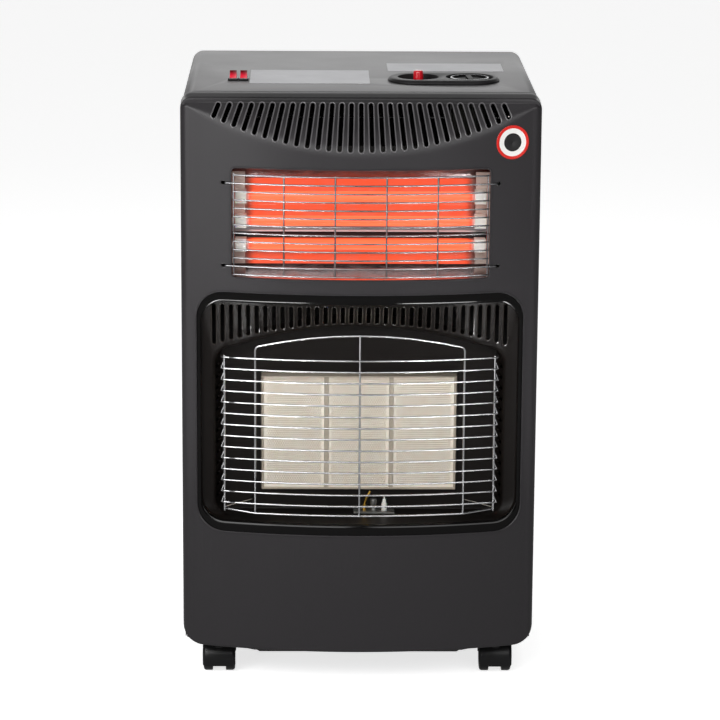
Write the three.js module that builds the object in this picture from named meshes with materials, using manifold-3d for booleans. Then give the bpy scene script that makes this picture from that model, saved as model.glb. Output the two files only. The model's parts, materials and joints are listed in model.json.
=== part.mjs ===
// Portable gas cabinet heater with an electric quartz heater above the gas burner.
// Millimetres, +Z up, the front faces -Y. The origin is on the floor, under the middle of the heater.
import * as THREE from 'three';
import { mergeVertices } from 'three/addons/utils/BufferGeometryUtils.js';
import Module from 'manifold-3d';

const wasm = await Module();
wasm.setup();

// ---------------------------------------------------------------- driving dimensions
// y is counted from the side edges of the front panel until the whole is centred at the end.
const sheet = 1.2;
const gap = 0.3;

const front = {
  halfWidth: 210, bow: 36, edgeRadius: 10, bottom: 49.2, top: 714.6,
  bottomCorner: 24, topCorner: 14, back: 28, rimReturn: 12,
};
const scoop = { top: 706, slope: 1.48, rimRound: 5, wallRound: 3, crownRound: 2.4 };
const vent = { count: 29, pitch: 12.55, fanRadius: 421.4, fanCentre: 1077, top: 705.6, width: 5 };
const windowCut = { halfWidth: 150, bottom: 499.5, top: 632.6, corner: 5 };
const burnerCut = { halfWidth: 192, bottom: 194.3, top: 485.5, corner: 32 };

const body = { halfWidth: 208.5, deck: 715, corner: 14, back: 373, flange: 13 };
const tray = { top: 48.9, sheet: 1.5, halfWidth: 206.8, back: 366, rim: 14, lipBottom: 45.4 };
const cylinderSeat = { y: 235, radius: 112, rise: 1.5 };
const rearFlangeY = 366.8;
const coverTop = 632;

const wellY = 120;
const bezel = { x: 100, halfLength: 67, radius: 37, top: 719.6, floor: 699.4, floorSheet: 1.8 };
const igniterWell = { x: 69.7, radius: 24.7 };
const knobWell = { x: 131, radius: 28.5 };
const knob = { radius: 23.2, bottom: 704.6, top: 719.4, bore: 4.3, socketTop: 716.4 };
const button = { radius: 6, bottom: 688, top: 727.4 };
const rocker = { xs: [-151.2, -138.6], y: 121.8, frameWidth: 12.2, frameLength: 21.5, width: 8.2 };

const quartz = { zs: [595, 566, 538], y: 6, radius: 6, halfLength: 133, capEnd: 146.5 };
const upperWire = { count: 13, top: 624.6, pitch: 9.775, radius: 1.15, halfSpan: 149.6, hookX: 158.2 };
const upperBarXs = [-147.5, -89.3, -29.8, 29.8, 89.3, 147.5];

const bead = { inset: 5, bandHeight: 12.5, setBack: 12.7, corner: 27 };
const burnerBack = 34;
const archRing = { halfWidth: 171, y: 9, shoulder: 412, crown: 438, corner: 22 };
const backRing = { halfWidth: 164, bottom: 208, corner: 12 };
const surroundSlot = { count: 35, pitch: 10.1, width: 5, top: 468 };
const plaque = { pitch: 77.4, width: 72, height: 136, bottom: 236.5, front: 30.2, depth: 12 };
const lowerWire = { count: 14, bottom: 230.6, pitch: 13.58, radius: 1.2, halfSpan: 163.2 };

const guardFrame = { x: 123, low: 219, shoulder: 421, crown: 437 };

const caster = { x: 168, frontY: 36, rearY: 337, trail: 12, wheelRadius: 20, wheelInner: 8, wheelOuter: 19.4 };

const steelPaint = { color: 0x46474b, roughness: 0.45, metalness: 0.35 };
const blackEnamel = { color: 0x0c0c0d, roughness: 0.12, metalness: 0.1 };
const blackPlastic = { color: 0x161618, roughness: 0.5, metalness: 0 };
const wireChrome = { color: 0xd9dadc, roughness: 0.15, metalness: 1 };
const polished = { color: 0xc8c8ca, roughness: 0.1, metalness: 1 };
const zincSteel = { color: 0x9a9c9e, roughness: 0.4, metalness: 0.9 };
const redPlastic = { color: 0xc01822, roughness: 0.3, metalness: 0 };
const creamCeramic = { color: 0xe4d8c4, roughness: 0.8, metalness: 0 };
const whiteCeramic = { color: 0xf2f0ea, roughness: 0.5, metalness: 0 };
const brass = { color: 0xb8923c, roughness: 0.3, metalness: 1 };

// ---------------------------------------------------------------- solids and placing
const heater = new THREE.Group();

function solid(geometry) {
  const bare = geometry.clone();
  bare.deleteAttribute('normal');
  bare.deleteAttribute('uv');
  const merged = mergeVertices(bare, 1e-4);
  return new wasm.Manifold(new wasm.Mesh({
    numProp: 3,
    vertProperties: new Float32Array(merged.attributes.position.array),
    triVerts: new Uint32Array(merged.index.array),
  }));
}

function add(name, shape, look) {
  const mesh3 = shape.getMesh();
  const geometry = new THREE.BufferGeometry();
  geometry.setAttribute('position', new THREE.BufferAttribute(mesh3.vertProperties, 3));
  geometry.setIndex(new THREE.BufferAttribute(mesh3.triVerts, 1));
  geometry.computeVertexNormals();
  const mesh = new THREE.Mesh(geometry, new THREE.MeshStandardMaterial(look));
  mesh.name = name;
  heater.add(mesh);
}

const join = (...shapes) => shapes.reduce((sum, next) => sum.add(next));
const cut = (shape, ...tools) => tools.reduce((rest, tool) => rest.subtract(tool), shape);
const range = (count) => Array.from({ length: count }, (_, i) => i);

function box(x0, x1, y0, y1, z0, z1) {
  const geometry = new THREE.BoxGeometry(x1 - x0, y1 - y0, z1 - z0);
  geometry.translate((x0 + x1) / 2, (y0 + y1) / 2, (z0 + z1) / 2);
  return solid(geometry);
}

// A shape drawn in plan (x, y), raised from z0 to z1.
function prismZ(shape, z0, z1, curveSegments = 8) {
  const geometry = new THREE.ExtrudeGeometry(shape, { depth: z1 - z0, bevelEnabled: false, curveSegments });
  geometry.translate(0, 0, z0);
  return solid(geometry);
}

// A shape drawn in the front view (x, z), pushed from y0 back to y1.
function prismY(shape, y0, y1, curveSegments = 8) {
  const geometry = new THREE.ExtrudeGeometry(shape, { depth: y1 - y0, bevelEnabled: false, curveSegments });
  geometry.rotateX(Math.PI / 2);
  geometry.translate(0, y1, 0);
  return solid(geometry);
}

// A shape drawn in the side view (y, z), spread from x0 to x1.
function prismX(shape, x0, x1, curveSegments = 8) {
  const geometry = new THREE.ExtrudeGeometry(shape, { depth: x1 - x0, bevelEnabled: false, curveSegments });
  geometry.applyMatrix4(new THREE.Matrix4().set(0, 0, 1, x0, 1, 0, 0, 0, 0, 1, 0, 0, 0, 0, 0, 1));
  return solid(geometry);
}

function outline(points) {
  return new THREE.Shape(points.map(([u, v]) => new THREE.Vector2(u, v)));
}

function roundedRect(u0, u1, v0, v1, r) {
  const shape = new THREE.Shape();
  shape.moveTo(u0 + r, v0);
  shape.lineTo(u1 - r, v0);
  shape.absarc(u1 - r, v0 + r, r, -Math.PI / 2, 0);
  shape.absarc(u1 - r, v1 - r, r, 0, Math.PI / 2);
  shape.absarc(u0 + r, v1 - r, r, Math.PI / 2, Math.PI);
  shape.absarc(u0 + r, v0 + r, r, Math.PI, Math.PI * 1.5);
  return shape;
}

// A slot with round ends between two points of the front view.
function slotShape(u0, v0, u1, v1, width) {
  const angle = Math.atan2(v1 - v0, u1 - u0);
  const r = width / 2;
  const shape = new THREE.Shape();
  shape.absarc(u1, v1, r, angle - Math.PI / 2, angle + Math.PI / 2);
  shape.absarc(u0, v0, r, angle + Math.PI / 2, angle + Math.PI * 1.5);
  shape.closePath();
  return shape;
}

function stadium(x, y, halfLength, radius) {
  const straight = halfLength - radius;
  return slotShape(x - straight, y, x + straight, y, radius * 2);
}

function rodZ(x, y, radius, z0, z1, sides = 16) {
  const geometry = new THREE.CylinderGeometry(radius, radius, z1 - z0, sides);
  geometry.rotateX(Math.PI / 2);
  geometry.translate(x, y, (z0 + z1) / 2);
  return solid(geometry);
}

function rodX(y, z, radius, x0, x1, sides = 16) {
  const geometry = new THREE.CylinderGeometry(radius, radius, x1 - x0, sides);
  geometry.rotateZ(Math.PI / 2);
  geometry.translate((x0 + x1) / 2, y, z);
  return solid(geometry);
}

function rodY(x, z, radius, y0, y1, sides = 16) {
  const geometry = new THREE.CylinderGeometry(radius, radius, y1 - y0, sides);
  geometry.translate(x, (y0 + y1) / 2, z);
  return solid(geometry);
}

// A profile of [radius, height] pairs turned about a vertical axis.
function turned(profile, x, y, z, segments = 24) {
  const points = profile.map(([r, h]) => new THREE.Vector2(r, h));
  const geometry = new THREE.LatheGeometry([...points, points[0].clone()], segments);
  geometry.rotateX(Math.PI / 2);
  geometry.translate(x, y, z);
  return solid(geometry);
}

// A round wire or pipe along a polyline whose corners are rounded.
function wire(points, radius, bend, sides = 6, arcSteps = 2, phase = 0) {
  const path = points.map(([x, y, z]) => new THREE.Vector3(x, y, z));
  const centres = [path[0]];
  for (let i = 1; i < path.length - 1; i += 1) {
    const into = path[i].clone().sub(path[i - 1]);
    const out = path[i + 1].clone().sub(path[i]);
    const reach = Math.min(bend, into.length() * 0.45, out.length() * 0.45);
    const start = path[i].clone().addScaledVector(into.normalize(), -reach);
    const end = path[i].clone().addScaledVector(out.normalize(), reach);
    const corner = new THREE.QuadraticBezierCurve3(start, path[i], end);
    centres.push(...corner.getPoints(arcSteps));
  }
  centres.push(path[path.length - 1]);
  return sweep(centres, radius, sides, phase);
}

// Rings of one size set square across a run of centres, joined into a closed tube.
function sweep(centres, radius, sides, phase = 0) {
  let normal = null;
  const rings = centres.map((centre, i) => {
    const before = centres[Math.max(i - 1, 0)];
    const after = centres[Math.min(i + 1, centres.length - 1)];
    const along = after.clone().sub(before).normalize();
    if (!normal) {
      const helper = Math.abs(along.z) < 0.9 ? new THREE.Vector3(0, 0, 1) : new THREE.Vector3(0, 1, 0);
      normal = helper.clone();
    }
    normal = normal.clone().addScaledVector(along, -normal.dot(along)).normalize();
    const side = along.clone().cross(normal);
    return range(sides).map((k) => {
      const turn = phase + (k / sides) * Math.PI * 2;
      return centre.clone()
        .addScaledVector(normal, Math.cos(turn) * radius)
        .addScaledVector(side, Math.sin(turn) * radius);
    });
  });
  return loft(rings);
}

// Closed skin over rings of equal point count, capped at both ends about each ring's middle.
function loft(rings) {
  const count = rings[0].length;
  const vertices = rings.flat();
  const faces = [];
  for (let i = 0; i < rings.length - 1; i += 1) {
    for (let k = 0; k < count; k += 1) {
      const a = i * count + k;
      const b = i * count + ((k + 1) % count);
      faces.push([a, b, b + count], [a, b + count, a + count]);
    }
  }
  const capAt = (ringIndex, flip) => {
    const ring = rings[ringIndex];
    const middle = ring.reduce((sum, p) => sum.add(p), new THREE.Vector3()).divideScalar(count);
    const hub = vertices.push(middle) - 1;
    for (let k = 0; k < count; k += 1) {
      const a = ringIndex * count + k;
      const b = ringIndex * count + ((k + 1) % count);
      faces.push(flip ? [b, a, hub] : [a, b, hub]);
    }
  };
  capAt(0, true);
  capAt(rings.length - 1, false);
  const volume = faces.reduce((sum, [a, b, c]) => (
    sum + vertices[a].dot(vertices[b].clone().cross(vertices[c]))), 0);
  const facing = volume > 0 ? faces : faces.map(([a, b, c]) => [a, c, b]);
  const geometry = new THREE.BufferGeometry();
  geometry.setAttribute('position', new THREE.Float32BufferAttribute(vertices.flatMap((p) => p.toArray()), 3));
  geometry.setIndex(facing.flat());
  return solid(geometry);
}

// ---------------------------------------------------------------- bowed front
const bowRadius = (front.halfWidth ** 2 + front.bow ** 2) / (2 * front.bow);
const bowY = (x) => bowRadius - front.bow - Math.sqrt(bowRadius ** 2 - x ** 2);
const cornerDrop = (x, half, r) => (
  Math.abs(x) > half - r ? r - Math.sqrt(Math.max(0, r ** 2 - (Math.abs(x) - half + r) ** 2)) : 0);

// Plan outline of a bowed slab between two offsets from the bow, for |x| up to half.
function bowBand(half, offsetFront, offsetBack, steps = 12) {
  const xs = range(steps + 1).map((i) => -half + (2 * half * i) / steps);
  const near = xs.map((x) => [x, bowY(x) + offsetFront]);
  const far = xs.map((x) => [x, typeof offsetBack === 'function' ? offsetBack(x) : bowY(x) + offsetBack]);
  return outline([...near, ...far.reverse()]);
}

// Side-view section of the front panel at one x: face, rolled rim, slanted scoop, wall and crown.
function frontSection(x, inset, backY) {
  const half = front.halfWidth - inset;
  const edge = front.edgeRadius - inset;
  const ax = Math.abs(x);
  const face = bowY(Math.min(ax, half - edge)) + inset + cornerDrop(x, half, edge);
  const bottom = front.bottom + inset + cornerDrop(x, half, front.bottomCorner - inset);
  const top = front.top - inset - cornerDrop(x, half, front.topCorner - inset);
  const wall = Math.max(face, inset);
  const depth = wall - face;
  const amount = Math.min(1, depth / 12);
  const scoopTop = Math.min(scoop.top - 0.31 * inset, top - 5.5);
  const crease = scoopTop - scoop.slope * depth;
  const rim = scoop.rimRound * amount + 0.2;
  const slant = (t) => [face + (depth * t) / Math.max(scoop.slope * depth, 1e-6), crease + t];
  const rimEnd = Math.min(rim * 0.45, scoop.slope * depth * 0.4);
  const foot = Math.min(scoop.wallRound * amount, scoop.slope * depth * 0.3);
  const slantEnd = scoop.slope * depth - foot;
  return [
    [backY, bottom],
    [face, bottom],
    [face, crease - rim],
    slant(rimEnd),
    slant(slantEnd),
    [wall, scoopTop + foot * 0.8 + 0.3],
    [wall, top - scoop.crownRound],
    [wall + scoop.crownRound, top - 0.3],
    [backY, top],
  ];
}

function frontForm(inset, backY) {
  const half = front.halfWidth - inset;
  const edges = [24, 16, 10, 5.5, 2, 0.5, 0].map((step) => half - step);
  const right = [...range(6).map((i) => 34 * i), ...edges];
  const xs = [...right.slice(1).reverse().map((x) => -x), ...right];
  return loft(xs.map((x) => frontSection(x, inset, backY).map(([y, z]) => new THREE.Vector3(x, y, z))));
}

function ventSlots() {
  return range(vent.count).map((i) => {
    const turn = ((i - (vent.count - 1) / 2) * vent.pitch) / vent.fanRadius;
    const low = vent.fanRadius - vent.width / 2;
    const high = (vent.fanCentre - vent.top) / Math.cos(turn) + vent.width / 2;
    const at = (r) => [Math.sin(turn) * r, vent.fanCentre - Math.cos(turn) * r];
    return prismY(slotShape(...at(low), ...at(high), vent.width), -60, 8, 2);
  });
}

const wireZ = (i) => upperWire.top - i * upperWire.pitch;
const hookRows = [1, 11];

function frontPanel() {
  const shell = cut(frontForm(0, front.back), frontForm(sheet, front.back + 10));
  const bottomOpening = prismZ(
    bowBand(front.halfWidth - front.rimReturn, front.rimReturn, () => front.back + 1),
    front.bottom - 2, front.bottom + sheet + 2);
  const windowHole = prismY(
    roundedRect(-windowCut.halfWidth, windowCut.halfWidth, windowCut.bottom, windowCut.top, windowCut.corner),
    -60, 20, 2);
  const burnerHole = prismY(
    roundedRect(-burnerCut.halfWidth, burnerCut.halfWidth, burnerCut.bottom, burnerCut.top, burnerCut.corner),
    -60, 20, 5);
  const hookHoles = [-1, 1].flatMap((side) => hookRows.map((row) => (
    rodY(side * upperWire.hookX, wireZ(row), 2.6, -60, 20, 6))));
  return cut(shell, bottomOpening, windowHole, burnerHole, ...ventSlots(), ...hookHoles);
}

// ---------------------------------------------------------------- cabinet
function wrapOutline(inset) {
  const half = body.halfWidth - inset;
  const r = body.corner - inset;
  const top = body.deck - inset;
  const shape = new THREE.Shape();
  shape.moveTo(-half, front.bottom - inset);
  shape.lineTo(half, front.bottom - inset);
  shape.lineTo(half, top - r);
  shape.absarc(half - r, top - r, r, 0, Math.PI / 2);
  shape.lineTo(-half + r, top);
  shape.absarc(-half + r, top - r, r, Math.PI / 2, Math.PI);
  return shape;
}

function cabinetWrap() {
  const y0 = front.back + gap;
  const shell = cut(
    prismY(wrapOutline(0), y0, body.back, 5),
    prismY(wrapOutline(sheet), y0 - 5, body.back + 5, 5));
  const inner = body.halfWidth - sheet / 2;
  const flange = (side, y, depth) => box(
    Math.min(side * inner, side * (inner - depth)), Math.max(side * inner, side * (inner - depth)),
    y, y + sheet, 64, 690);
  const flanges = [-1, 1].flatMap((side) => [
    flange(side, y0, body.flange), flange(side, rearFlangeY - sheet, body.flange)]);
  const deckHoles = [
    prismZ(stadium(bezel.x, wellY, bezel.halfLength - 2.6, bezel.radius - 2.6), 700, 730, 8),
    ...rocker.xs.map((x) => box(x - 5.3, x + 5.3, rocker.y - 9.7, rocker.y + 9.7, 700, 730))];
  return cut(join(shell, ...flanges), ...deckHoles);
}

function baseTray() {
  const z0 = tray.top - tray.sheet;
  const half = tray.halfWidth;
  const floor = prismZ(outline([
    [-half, tray.back], [-half, 30], [-half + 16, 12], [-150, -4], [-124, -19],
    [124, -19], [150, -4], [half - 16, 12], [half, 30], [half, tray.back]]), z0, tray.top);
  const lip = prismY(outline([[-124, tray.top], [-118, tray.lipBottom], [118, tray.lipBottom], [124, tray.top]]),
    -19, -19 + tray.sheet);
  const rimTop = tray.top + tray.rim;
  const rims = [
    box(-half, -half + tray.sheet, 45, tray.back, z0, rimTop),
    box(half - tray.sheet, half, 45, tray.back, z0, rimTop),
    box(-half, half, tray.back - tray.sheet, tray.back, z0, rimTop)];
  const guides = [-1, 1].map((side) => prismZ(
    slotShape(side * 132, 170, side * 132, 300, 6), tray.top - 0.5, tray.top + 9, 4));
  const { y, radius, rise } = cylinderSeat;
  const seat = rodZ(0, y, radius, tray.top - 0.5, tray.top + rise, 40);
  const seatHollow = rodZ(0, y, radius - tray.sheet, z0 - 1, z0 + rise, 40);
  return cut(join(floor, lip, ...rims, ...guides, seat), seatHollow);
}

function rearTopPanel() {
  const inner = body.halfWidth - sheet - gap;
  const top = body.deck - sheet - gap;
  const plate = cut(
    prismY(roundedRect(-inner, inner, coverTop - 20, top, body.corner + 1), rearFlangeY + gap,
      rearFlangeY + gap + sheet, 3),
    box(-inner - 1, inner + 1, 300, 400, coverTop - 21, coverTop + 1));
  const hem = box(-inner + 14, inner - 14, rearFlangeY + gap - 12, rearFlangeY + gap + 0.4,
    coverTop + 1, coverTop + 1 + sheet);
  const louvres = range(5).flatMap((row) => [[-155, -45], [-30, 80]].map(([x0, x1]) => (
    box(x0, x1, 300, 400, 650 + row * 10, 654 + row * 10))));
  const glandHole = rodY(150, 667, 7.5, 300, 400, 12);
  return cut(join(plate, hem), ...louvres, glandHole);
}

function cordGland() {
  const y = rearFlangeY + gap + sheet;
  const flangeRing = rodY(150, 667, 10, y + gap, y + 4, 16);
  const neck = rodY(150, 667, 7.2, y - 14, y + 1, 16);
  const bore = rodY(150, 667, 3.8, y - 20, y + 12, 12);
  return cut(join(flangeRing, neck), bore);
}

// The lift-off back: a shallow tray with pressed ribs and louvres, hooked over the base tray's rim.
function rearCover() {
  const half = body.halfWidth - sheet - gap - 0.4;
  const y0 = rearFlangeY + gap;
  const bottom = tray.top + gap;
  const plate = box(-half, half, y0, y0 + sheet, bottom, coverTop);
  const topHem = box(-half + 16, half - 16, y0 - 11, y0 + 0.4, coverTop - sheet, coverTop);
  const rib = (x0, x1, z0, z1) => prismY(roundedRect(x0, x1, z0, z1, 8), y0 + sheet - 0.4, y0 + 5, 2);
  const ribs = [-1, 1].map((side) => rib(side * 120 - 52, side * 120 + 52, 150, 500));
  const middle = rib(-40, 40, 150, 500);
  const slots = (z0, rows) => range(rows).flatMap((row) => [-1, 0, 1].map((side) => (
    box(side * 110 - 38, side * 110 + 38, 350, 390, z0 + row * 15, z0 + row * 15 + 5))));
  return cut(join(plate, topHem, ...ribs, middle), ...slots(530, 4), ...slots(80, 3));
}

function heatShield() {
  const inner = body.halfWidth - sheet - gap;
  const y0 = 92;
  const plate = box(-inner, inner, y0, y0 + sheet, tray.top + gap, 640);
  const sides = [-1, 1].map((side) => box(
    Math.min(side * inner, side * (inner - sheet)), Math.max(side * inner, side * (inner - sheet)),
    y0, y0 + 14, tray.top + tray.rim + 4, 640));
  const foot = box(-inner + 2, inner - 2, y0, y0 + 14, tray.top + gap, tray.top + gap + sheet);
  const pipeHole = box(110, 164, y0 - 5, y0 + 8, 588, 645);
  const airSlots = range(3).flatMap((row) => [-1, 1].map((side) => (
    box(side * 90 - 40, side * 90 + 40, y0 - 5, y0 + 8, 80 + row * 14, 86 + row * 14))));
  const rimRoom = [-1, 1].map((side) => box(
    side * inner - 3, side * inner + 3, y0 - 5, y0 + 20, tray.top, tray.top + tray.rim + 2));
  return cut(join(plate, ...sides, foot), pipeHole, ...airSlots, ...rimRoom);
}

// ---------------------------------------------------------------- controls
function controlBezel() {
  const rimAt = (inset) => stadium(bezel.x, wellY, bezel.halfLength - inset, bezel.radius - inset);
  const ring = (inset, z) => rimAt(inset).getPoints(7).slice(0, -1).map((p) => new THREE.Vector3(p.x, p.y, z));
  const plate = loft([
    ring(0, body.deck + gap), ring(0.4, body.deck + 2), ring(2.2, bezel.top - 0.6), ring(3.4, bezel.top)]);
  const wells = [igniterWell, knobWell];
  const cups = wells.map((well) => rodZ(
    well.x, wellY, well.radius + 1.8, bezel.floor - bezel.floorSheet, body.deck + 1, 24));
  const hollows = wells.map((well) => rodZ(well.x, wellY, well.radius, bezel.floor, bezel.top + 5, 24));
  const holes = [
    rodZ(igniterWell.x, wellY, button.radius + 0.4, 690, 710, 14),
    rodZ(knobWell.x, wellY, 4.6, 690, 710, 12)];
  return cut(join(plate, ...cups), ...hollows, ...holes);
}

function controlKnob() {
  const r = knob.radius;
  const height = knob.top - knob.bottom;
  const disc = turned([
    [0, 0], [r - 2, 0], [r, 2], [r, height - 1], [r - 1.2, height], [r - 2.4, height],
    [r - 3.2, height - 2.6], [0, height - 2.6]], knobWell.x, wellY, knob.bottom, 24);
  const ridge = prismX(outline([
    [-20, height - 4], [20, height - 4], [17.5, height], [-17.5, height]]), -3, 3);
  const socket = rodZ(0, 0, knob.bore, knob.bottom - 2, knob.socketTop, 12);
  const ridgePlaced = ridge.translate([knobWell.x, wellY, knob.bottom]);
  return cut(join(disc, ridgePlaced), socket.translate([knobWell.x, wellY, 0]));
}

function valveSpindle() {
  const stem = rodZ(knobWell.x, wellY, 4, 684, 713, 12);
  const flat = box(knobWell.x - 5, knobWell.x + 5, wellY + 2.6, wellY + 6, 703, 714);
  return cut(stem, flat);
}

function gasValve() {
  const x = knobWell.x;
  const block = prismZ(roundedRect(x - 22, x + 22, wellY - 16, wellY + 16, 4), 652, 690, 3);
  const neck = rodZ(x, wellY, 10, 688, bezel.floor - bezel.floorSheet - gap, 14);
  const inlet = rodY(x, 672, 8, wellY + 14, wellY + 30, 12);
  const outlets = [-12, 12].map((dx) => rodZ(x + dx, wellY - 6, 5, 645, 654, 8));
  const bore = rodZ(x, wellY, 4.3, 683.7, 710, 12);
  return cut(join(block, neck, inlet, ...outlets), bore);
}

function hoseNozzle() {
  const x = knobWell.x;
  const y = wellY + 30 + gap;
  const nut = rodY(x, 672, 10, y, y + 10, 6);
  const barbs = range(3).map((i) => {
    const geometry = new THREE.CylinderGeometry(4.2, 5.4, 6, 10);
    geometry.translate(x, y + 13 + i * 6, 672);
    return solid(geometry);
  });
  return cut(join(nut, ...barbs), rodY(x, 672, 2.4, y + 2, y + 40, 10));
}

function piezoIgniter() {
  const x = igniterWell.x;
  const top = bezel.floor - bezel.floorSheet - gap;
  const barrel = rodZ(x, wellY, 10, 640, top - 3, 14);
  const collar = rodZ(x, wellY, 13, top - 4, top, 6);
  const bore = rodZ(x, wellY, button.radius + 0.4, 680, 705, 14);
  const terminal = rodZ(x, wellY, 2.5, 628, 641, 8);
  return cut(join(barrel, collar, terminal), bore);
}

function piezoButton() {
  const r = button.radius;
  const height = button.top - button.bottom;
  return turned([[0, 0], [r, 0], [r, height - 2], [r - 0.7, height - 0.6], [r - 2.2, height], [0, height]],
    igniterWell.x, wellY, button.bottom, 14);
}

function switchFrame(x) {
  const w = rocker.frameWidth / 2;
  const l = rocker.frameLength / 2;
  const flange = prismZ(roundedRect(x - w, x + w, rocker.y - l, rocker.y + l, 1.5), body.deck + gap, 717.8, 2);
  const barrel = box(x - 5, x + 5, rocker.y - 9.4, rocker.y + 9.4, 698, 716);
  const hollow = box(x - 4.3, x + 4.3, rocker.y - 9.1 + 0.2, rocker.y + 9.1 - 0.2, 704, 720);
  const blades = [-6, 0, 6].map((dy) => box(x - 3, x + 3, rocker.y + dy - 0.4, rocker.y + dy + 0.4, 689, 699));
  return cut(join(flange, barrel, ...blades), hollow);
}

// A see-saw key with its rear half raised, pivoted in the middle of the frame.
function rockerKey(x) {
  const side = outline([
    [-8, 712], [-3, 706.6], [3, 706.6], [8.3, 713.5], [7.35, 719.7], [7.9, 724.2],
    [7.2, 725.2], [-0.4, 720.2], [-8, 717.7], [-8.6, 716.8]]);
  return prismX(side, -rocker.width / 2, rocker.width / 2).translate([x, rocker.y, 0]);
}

// ---------------------------------------------------------------- electric heater
const reflector = { front: -12, back: 33, halfWidth: 153, top: 640, bottom: 494 };
const rib = { front: 15, bottom: 544, slotBottom: 545.2, slotTop: 551.5, top: 561 };

// Dished back of the reflector behind one tube, from z0 up to z1: it throws the tube's light forward.
function dish(tubeZ, z0, z1) {
  return range(5).map((i) => {
    const z = z0 + ((z1 - z0) * i) / 4;
    return [reflector.back + 0.0945 * (z - tubeZ) - 0.0085 * (z - tubeZ) ** 2, z];
  });
}


function upperReflector() {
  const outer = (grow) => outline([
    [reflector.front, reflector.bottom - grow], [reflector.back - 12, 512 - grow],
    [reflector.back + grow, 524 - grow], [reflector.back + grow, 612 + grow],
    [reflector.back - 12, 624 + grow], [reflector.front, reflector.top + grow]]);
  const hollow = outline([
    [reflector.front - 30, reflector.bottom - 8], [reflector.front, reflector.bottom],
    [reflector.back - 12, 512], ...dish(quartz.zs[2], 524, 540.5),
    [rib.front, rib.bottom], [rib.front, rib.top],
    ...dish(quartz.zs[1], 562, 580.5), ...dish(quartz.zs[0], 580.6, 612),
    [reflector.back - 12, 624], [reflector.front, reflector.top], [reflector.front - 30, reflector.top + 8]]);
  const half = reflector.halfWidth;
  const trough = cut(prismX(outer(sheet), -half, half), prismX(hollow, -half + sheet, half - sheet));
  const ends = range(quartz.zs.length).flatMap((i) => [-1, 1].map((side) => rodX(
    quartz.y, quartz.zs[i], 4.2, side * half - 8, side * half + 8, 8)));
  const slot = box(-half + sheet, half - sheet, rib.front - 1, 30, rib.slotBottom, rib.slotTop);
  const fold = box(-half + sheet, half - sheet, rib.front + sheet, 40, rib.slotTop + sheet, rib.top - sheet);
  const insideBow = prismZ(bowBand(190, sheet + gap, () => 60), 480, 660);
  return cut(trough, ...ends, slot, fold).intersect(insideBow);
}

function elementBracket(side) {
  const x0 = side * (reflector.halfWidth - sheet - gap);
  const x1 = side * (reflector.halfWidth - sheet - gap - 1.2);
  const plate = box(Math.min(x0, x1), Math.max(x0, x1), -9, 20, 516, 621);
  const footX = side * (reflector.halfWidth - sheet - gap - 16.5);
  const foot = box(Math.min(x0, footX), Math.max(x0, footX), 16, 17.2, 513, 622.5);
  const holes = quartz.zs.map((z) => rodX(quartz.y, z, 4.2, x1 - 5, x1 + 5, 8));
  const ribRoom = box(-160, 160, rib.front - 1, 40, rib.bottom - 2, rib.top + 2);
  return cut(join(plate, foot), ...holes, ribRoom);
}

function quartzTube(z) {
  return rodX(quartz.y, z, quartz.radius, -quartz.halfLength, quartz.halfLength, 14);
}

function elementCap(side, z) {
  const x0 = side * (quartz.halfLength + gap);
  const x1 = side * quartz.capEnd;
  const block = box(Math.min(x0, x1), Math.max(x0, x1), quartz.y - 8, quartz.y + 8, z - 7.5, z + 7.5);
  const pinX = side * (reflector.halfWidth + 5);
  return join(block, rodX(quartz.y, z, 3.8, Math.min(x1, pinX), Math.max(x1, pinX), 8));
}

// Rows have five sides with an edge to the rear, and uprights four with a face to the front.
const rowPhase = (54 / 180) * Math.PI;
const barPhase = Math.PI / 4;
const barSetBack = 1.35;
const bowRun = (half) => range(7).map((i) => -half + (half * i) / 3);

// A horizontal wire that follows the bow of the front at one height.
function bowedWire(z, half, offset, radius) {
  const centres = bowRun(half).map((x) => new THREE.Vector3(x, bowY(x) + offset, z));
  return sweep(centres, radius, 5, rowPhase);
}

function upperGuard() {
  const { radius, halfSpan, hookX } = upperWire;
  const offset = -radius - gap;
  const rows = range(upperWire.count)
    .filter((i) => !hookRows.includes(i))
    .map((i) => bowedWire(wireZ(i), halfSpan - 1.2, offset, radius));
  const hooked = hookRows.map((row) => {
    const run = bowRun(hookX).map((x) => [x, bowY(x) + offset, wireZ(row)]);
    const end = (side) => [side * hookX, bowY(hookX) + 9, wireZ(row)];
    const centres = [end(-1), ...run, end(1)].map((p) => new THREE.Vector3(...p));
    return sweep(centres, radius, 5, rowPhase);
  });
  const bars = upperBarXs.map((x) => sweep([0, 1].map((k) => new THREE.Vector3(
    x, bowY(x) + offset + radius * barSetBack, k ? wireZ(0) + 1 : wireZ(upperWire.count - 1) - 1)),
  radius, 4, barPhase));
  return join(...rows, ...hooked, ...bars);
}

// ---------------------------------------------------------------- gas fire
// A ring of the surround: a rounded rectangle in the front view whose top may be arched.
function surroundRing({ half, bottom, shoulder, crown, corner, yAt }) {
  const steps = 3;
  const points = [];
  const arc = (cx, cz, from) => range(steps + 1).forEach((i) => {
    const angle = from + (i / steps) * (Math.PI / 2);
    points.push([cx + Math.cos(angle) * corner, cz + Math.sin(angle) * corner]);
  });
  const span = half - corner;
  range(7).slice(1, -1).forEach((i) => points.push([-span + (span * i) / 3, bottom]));
  arc(span, bottom + corner, -Math.PI / 2);
  arc(span, shoulder - corner, 0);
  range(7).slice(1, -1).forEach((i) => {
    const x = span - (span * i) / 3;
    points.push([x, shoulder + (crown - shoulder) * (1 - (x / span) ** 2)]);
  });
  arc(-span, shoulder - corner, Math.PI / 2);
  arc(-span, bottom + corner, Math.PI);
  return points.map(([x, z]) => new THREE.Vector3(x, yAt(x), z));
}

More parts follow.
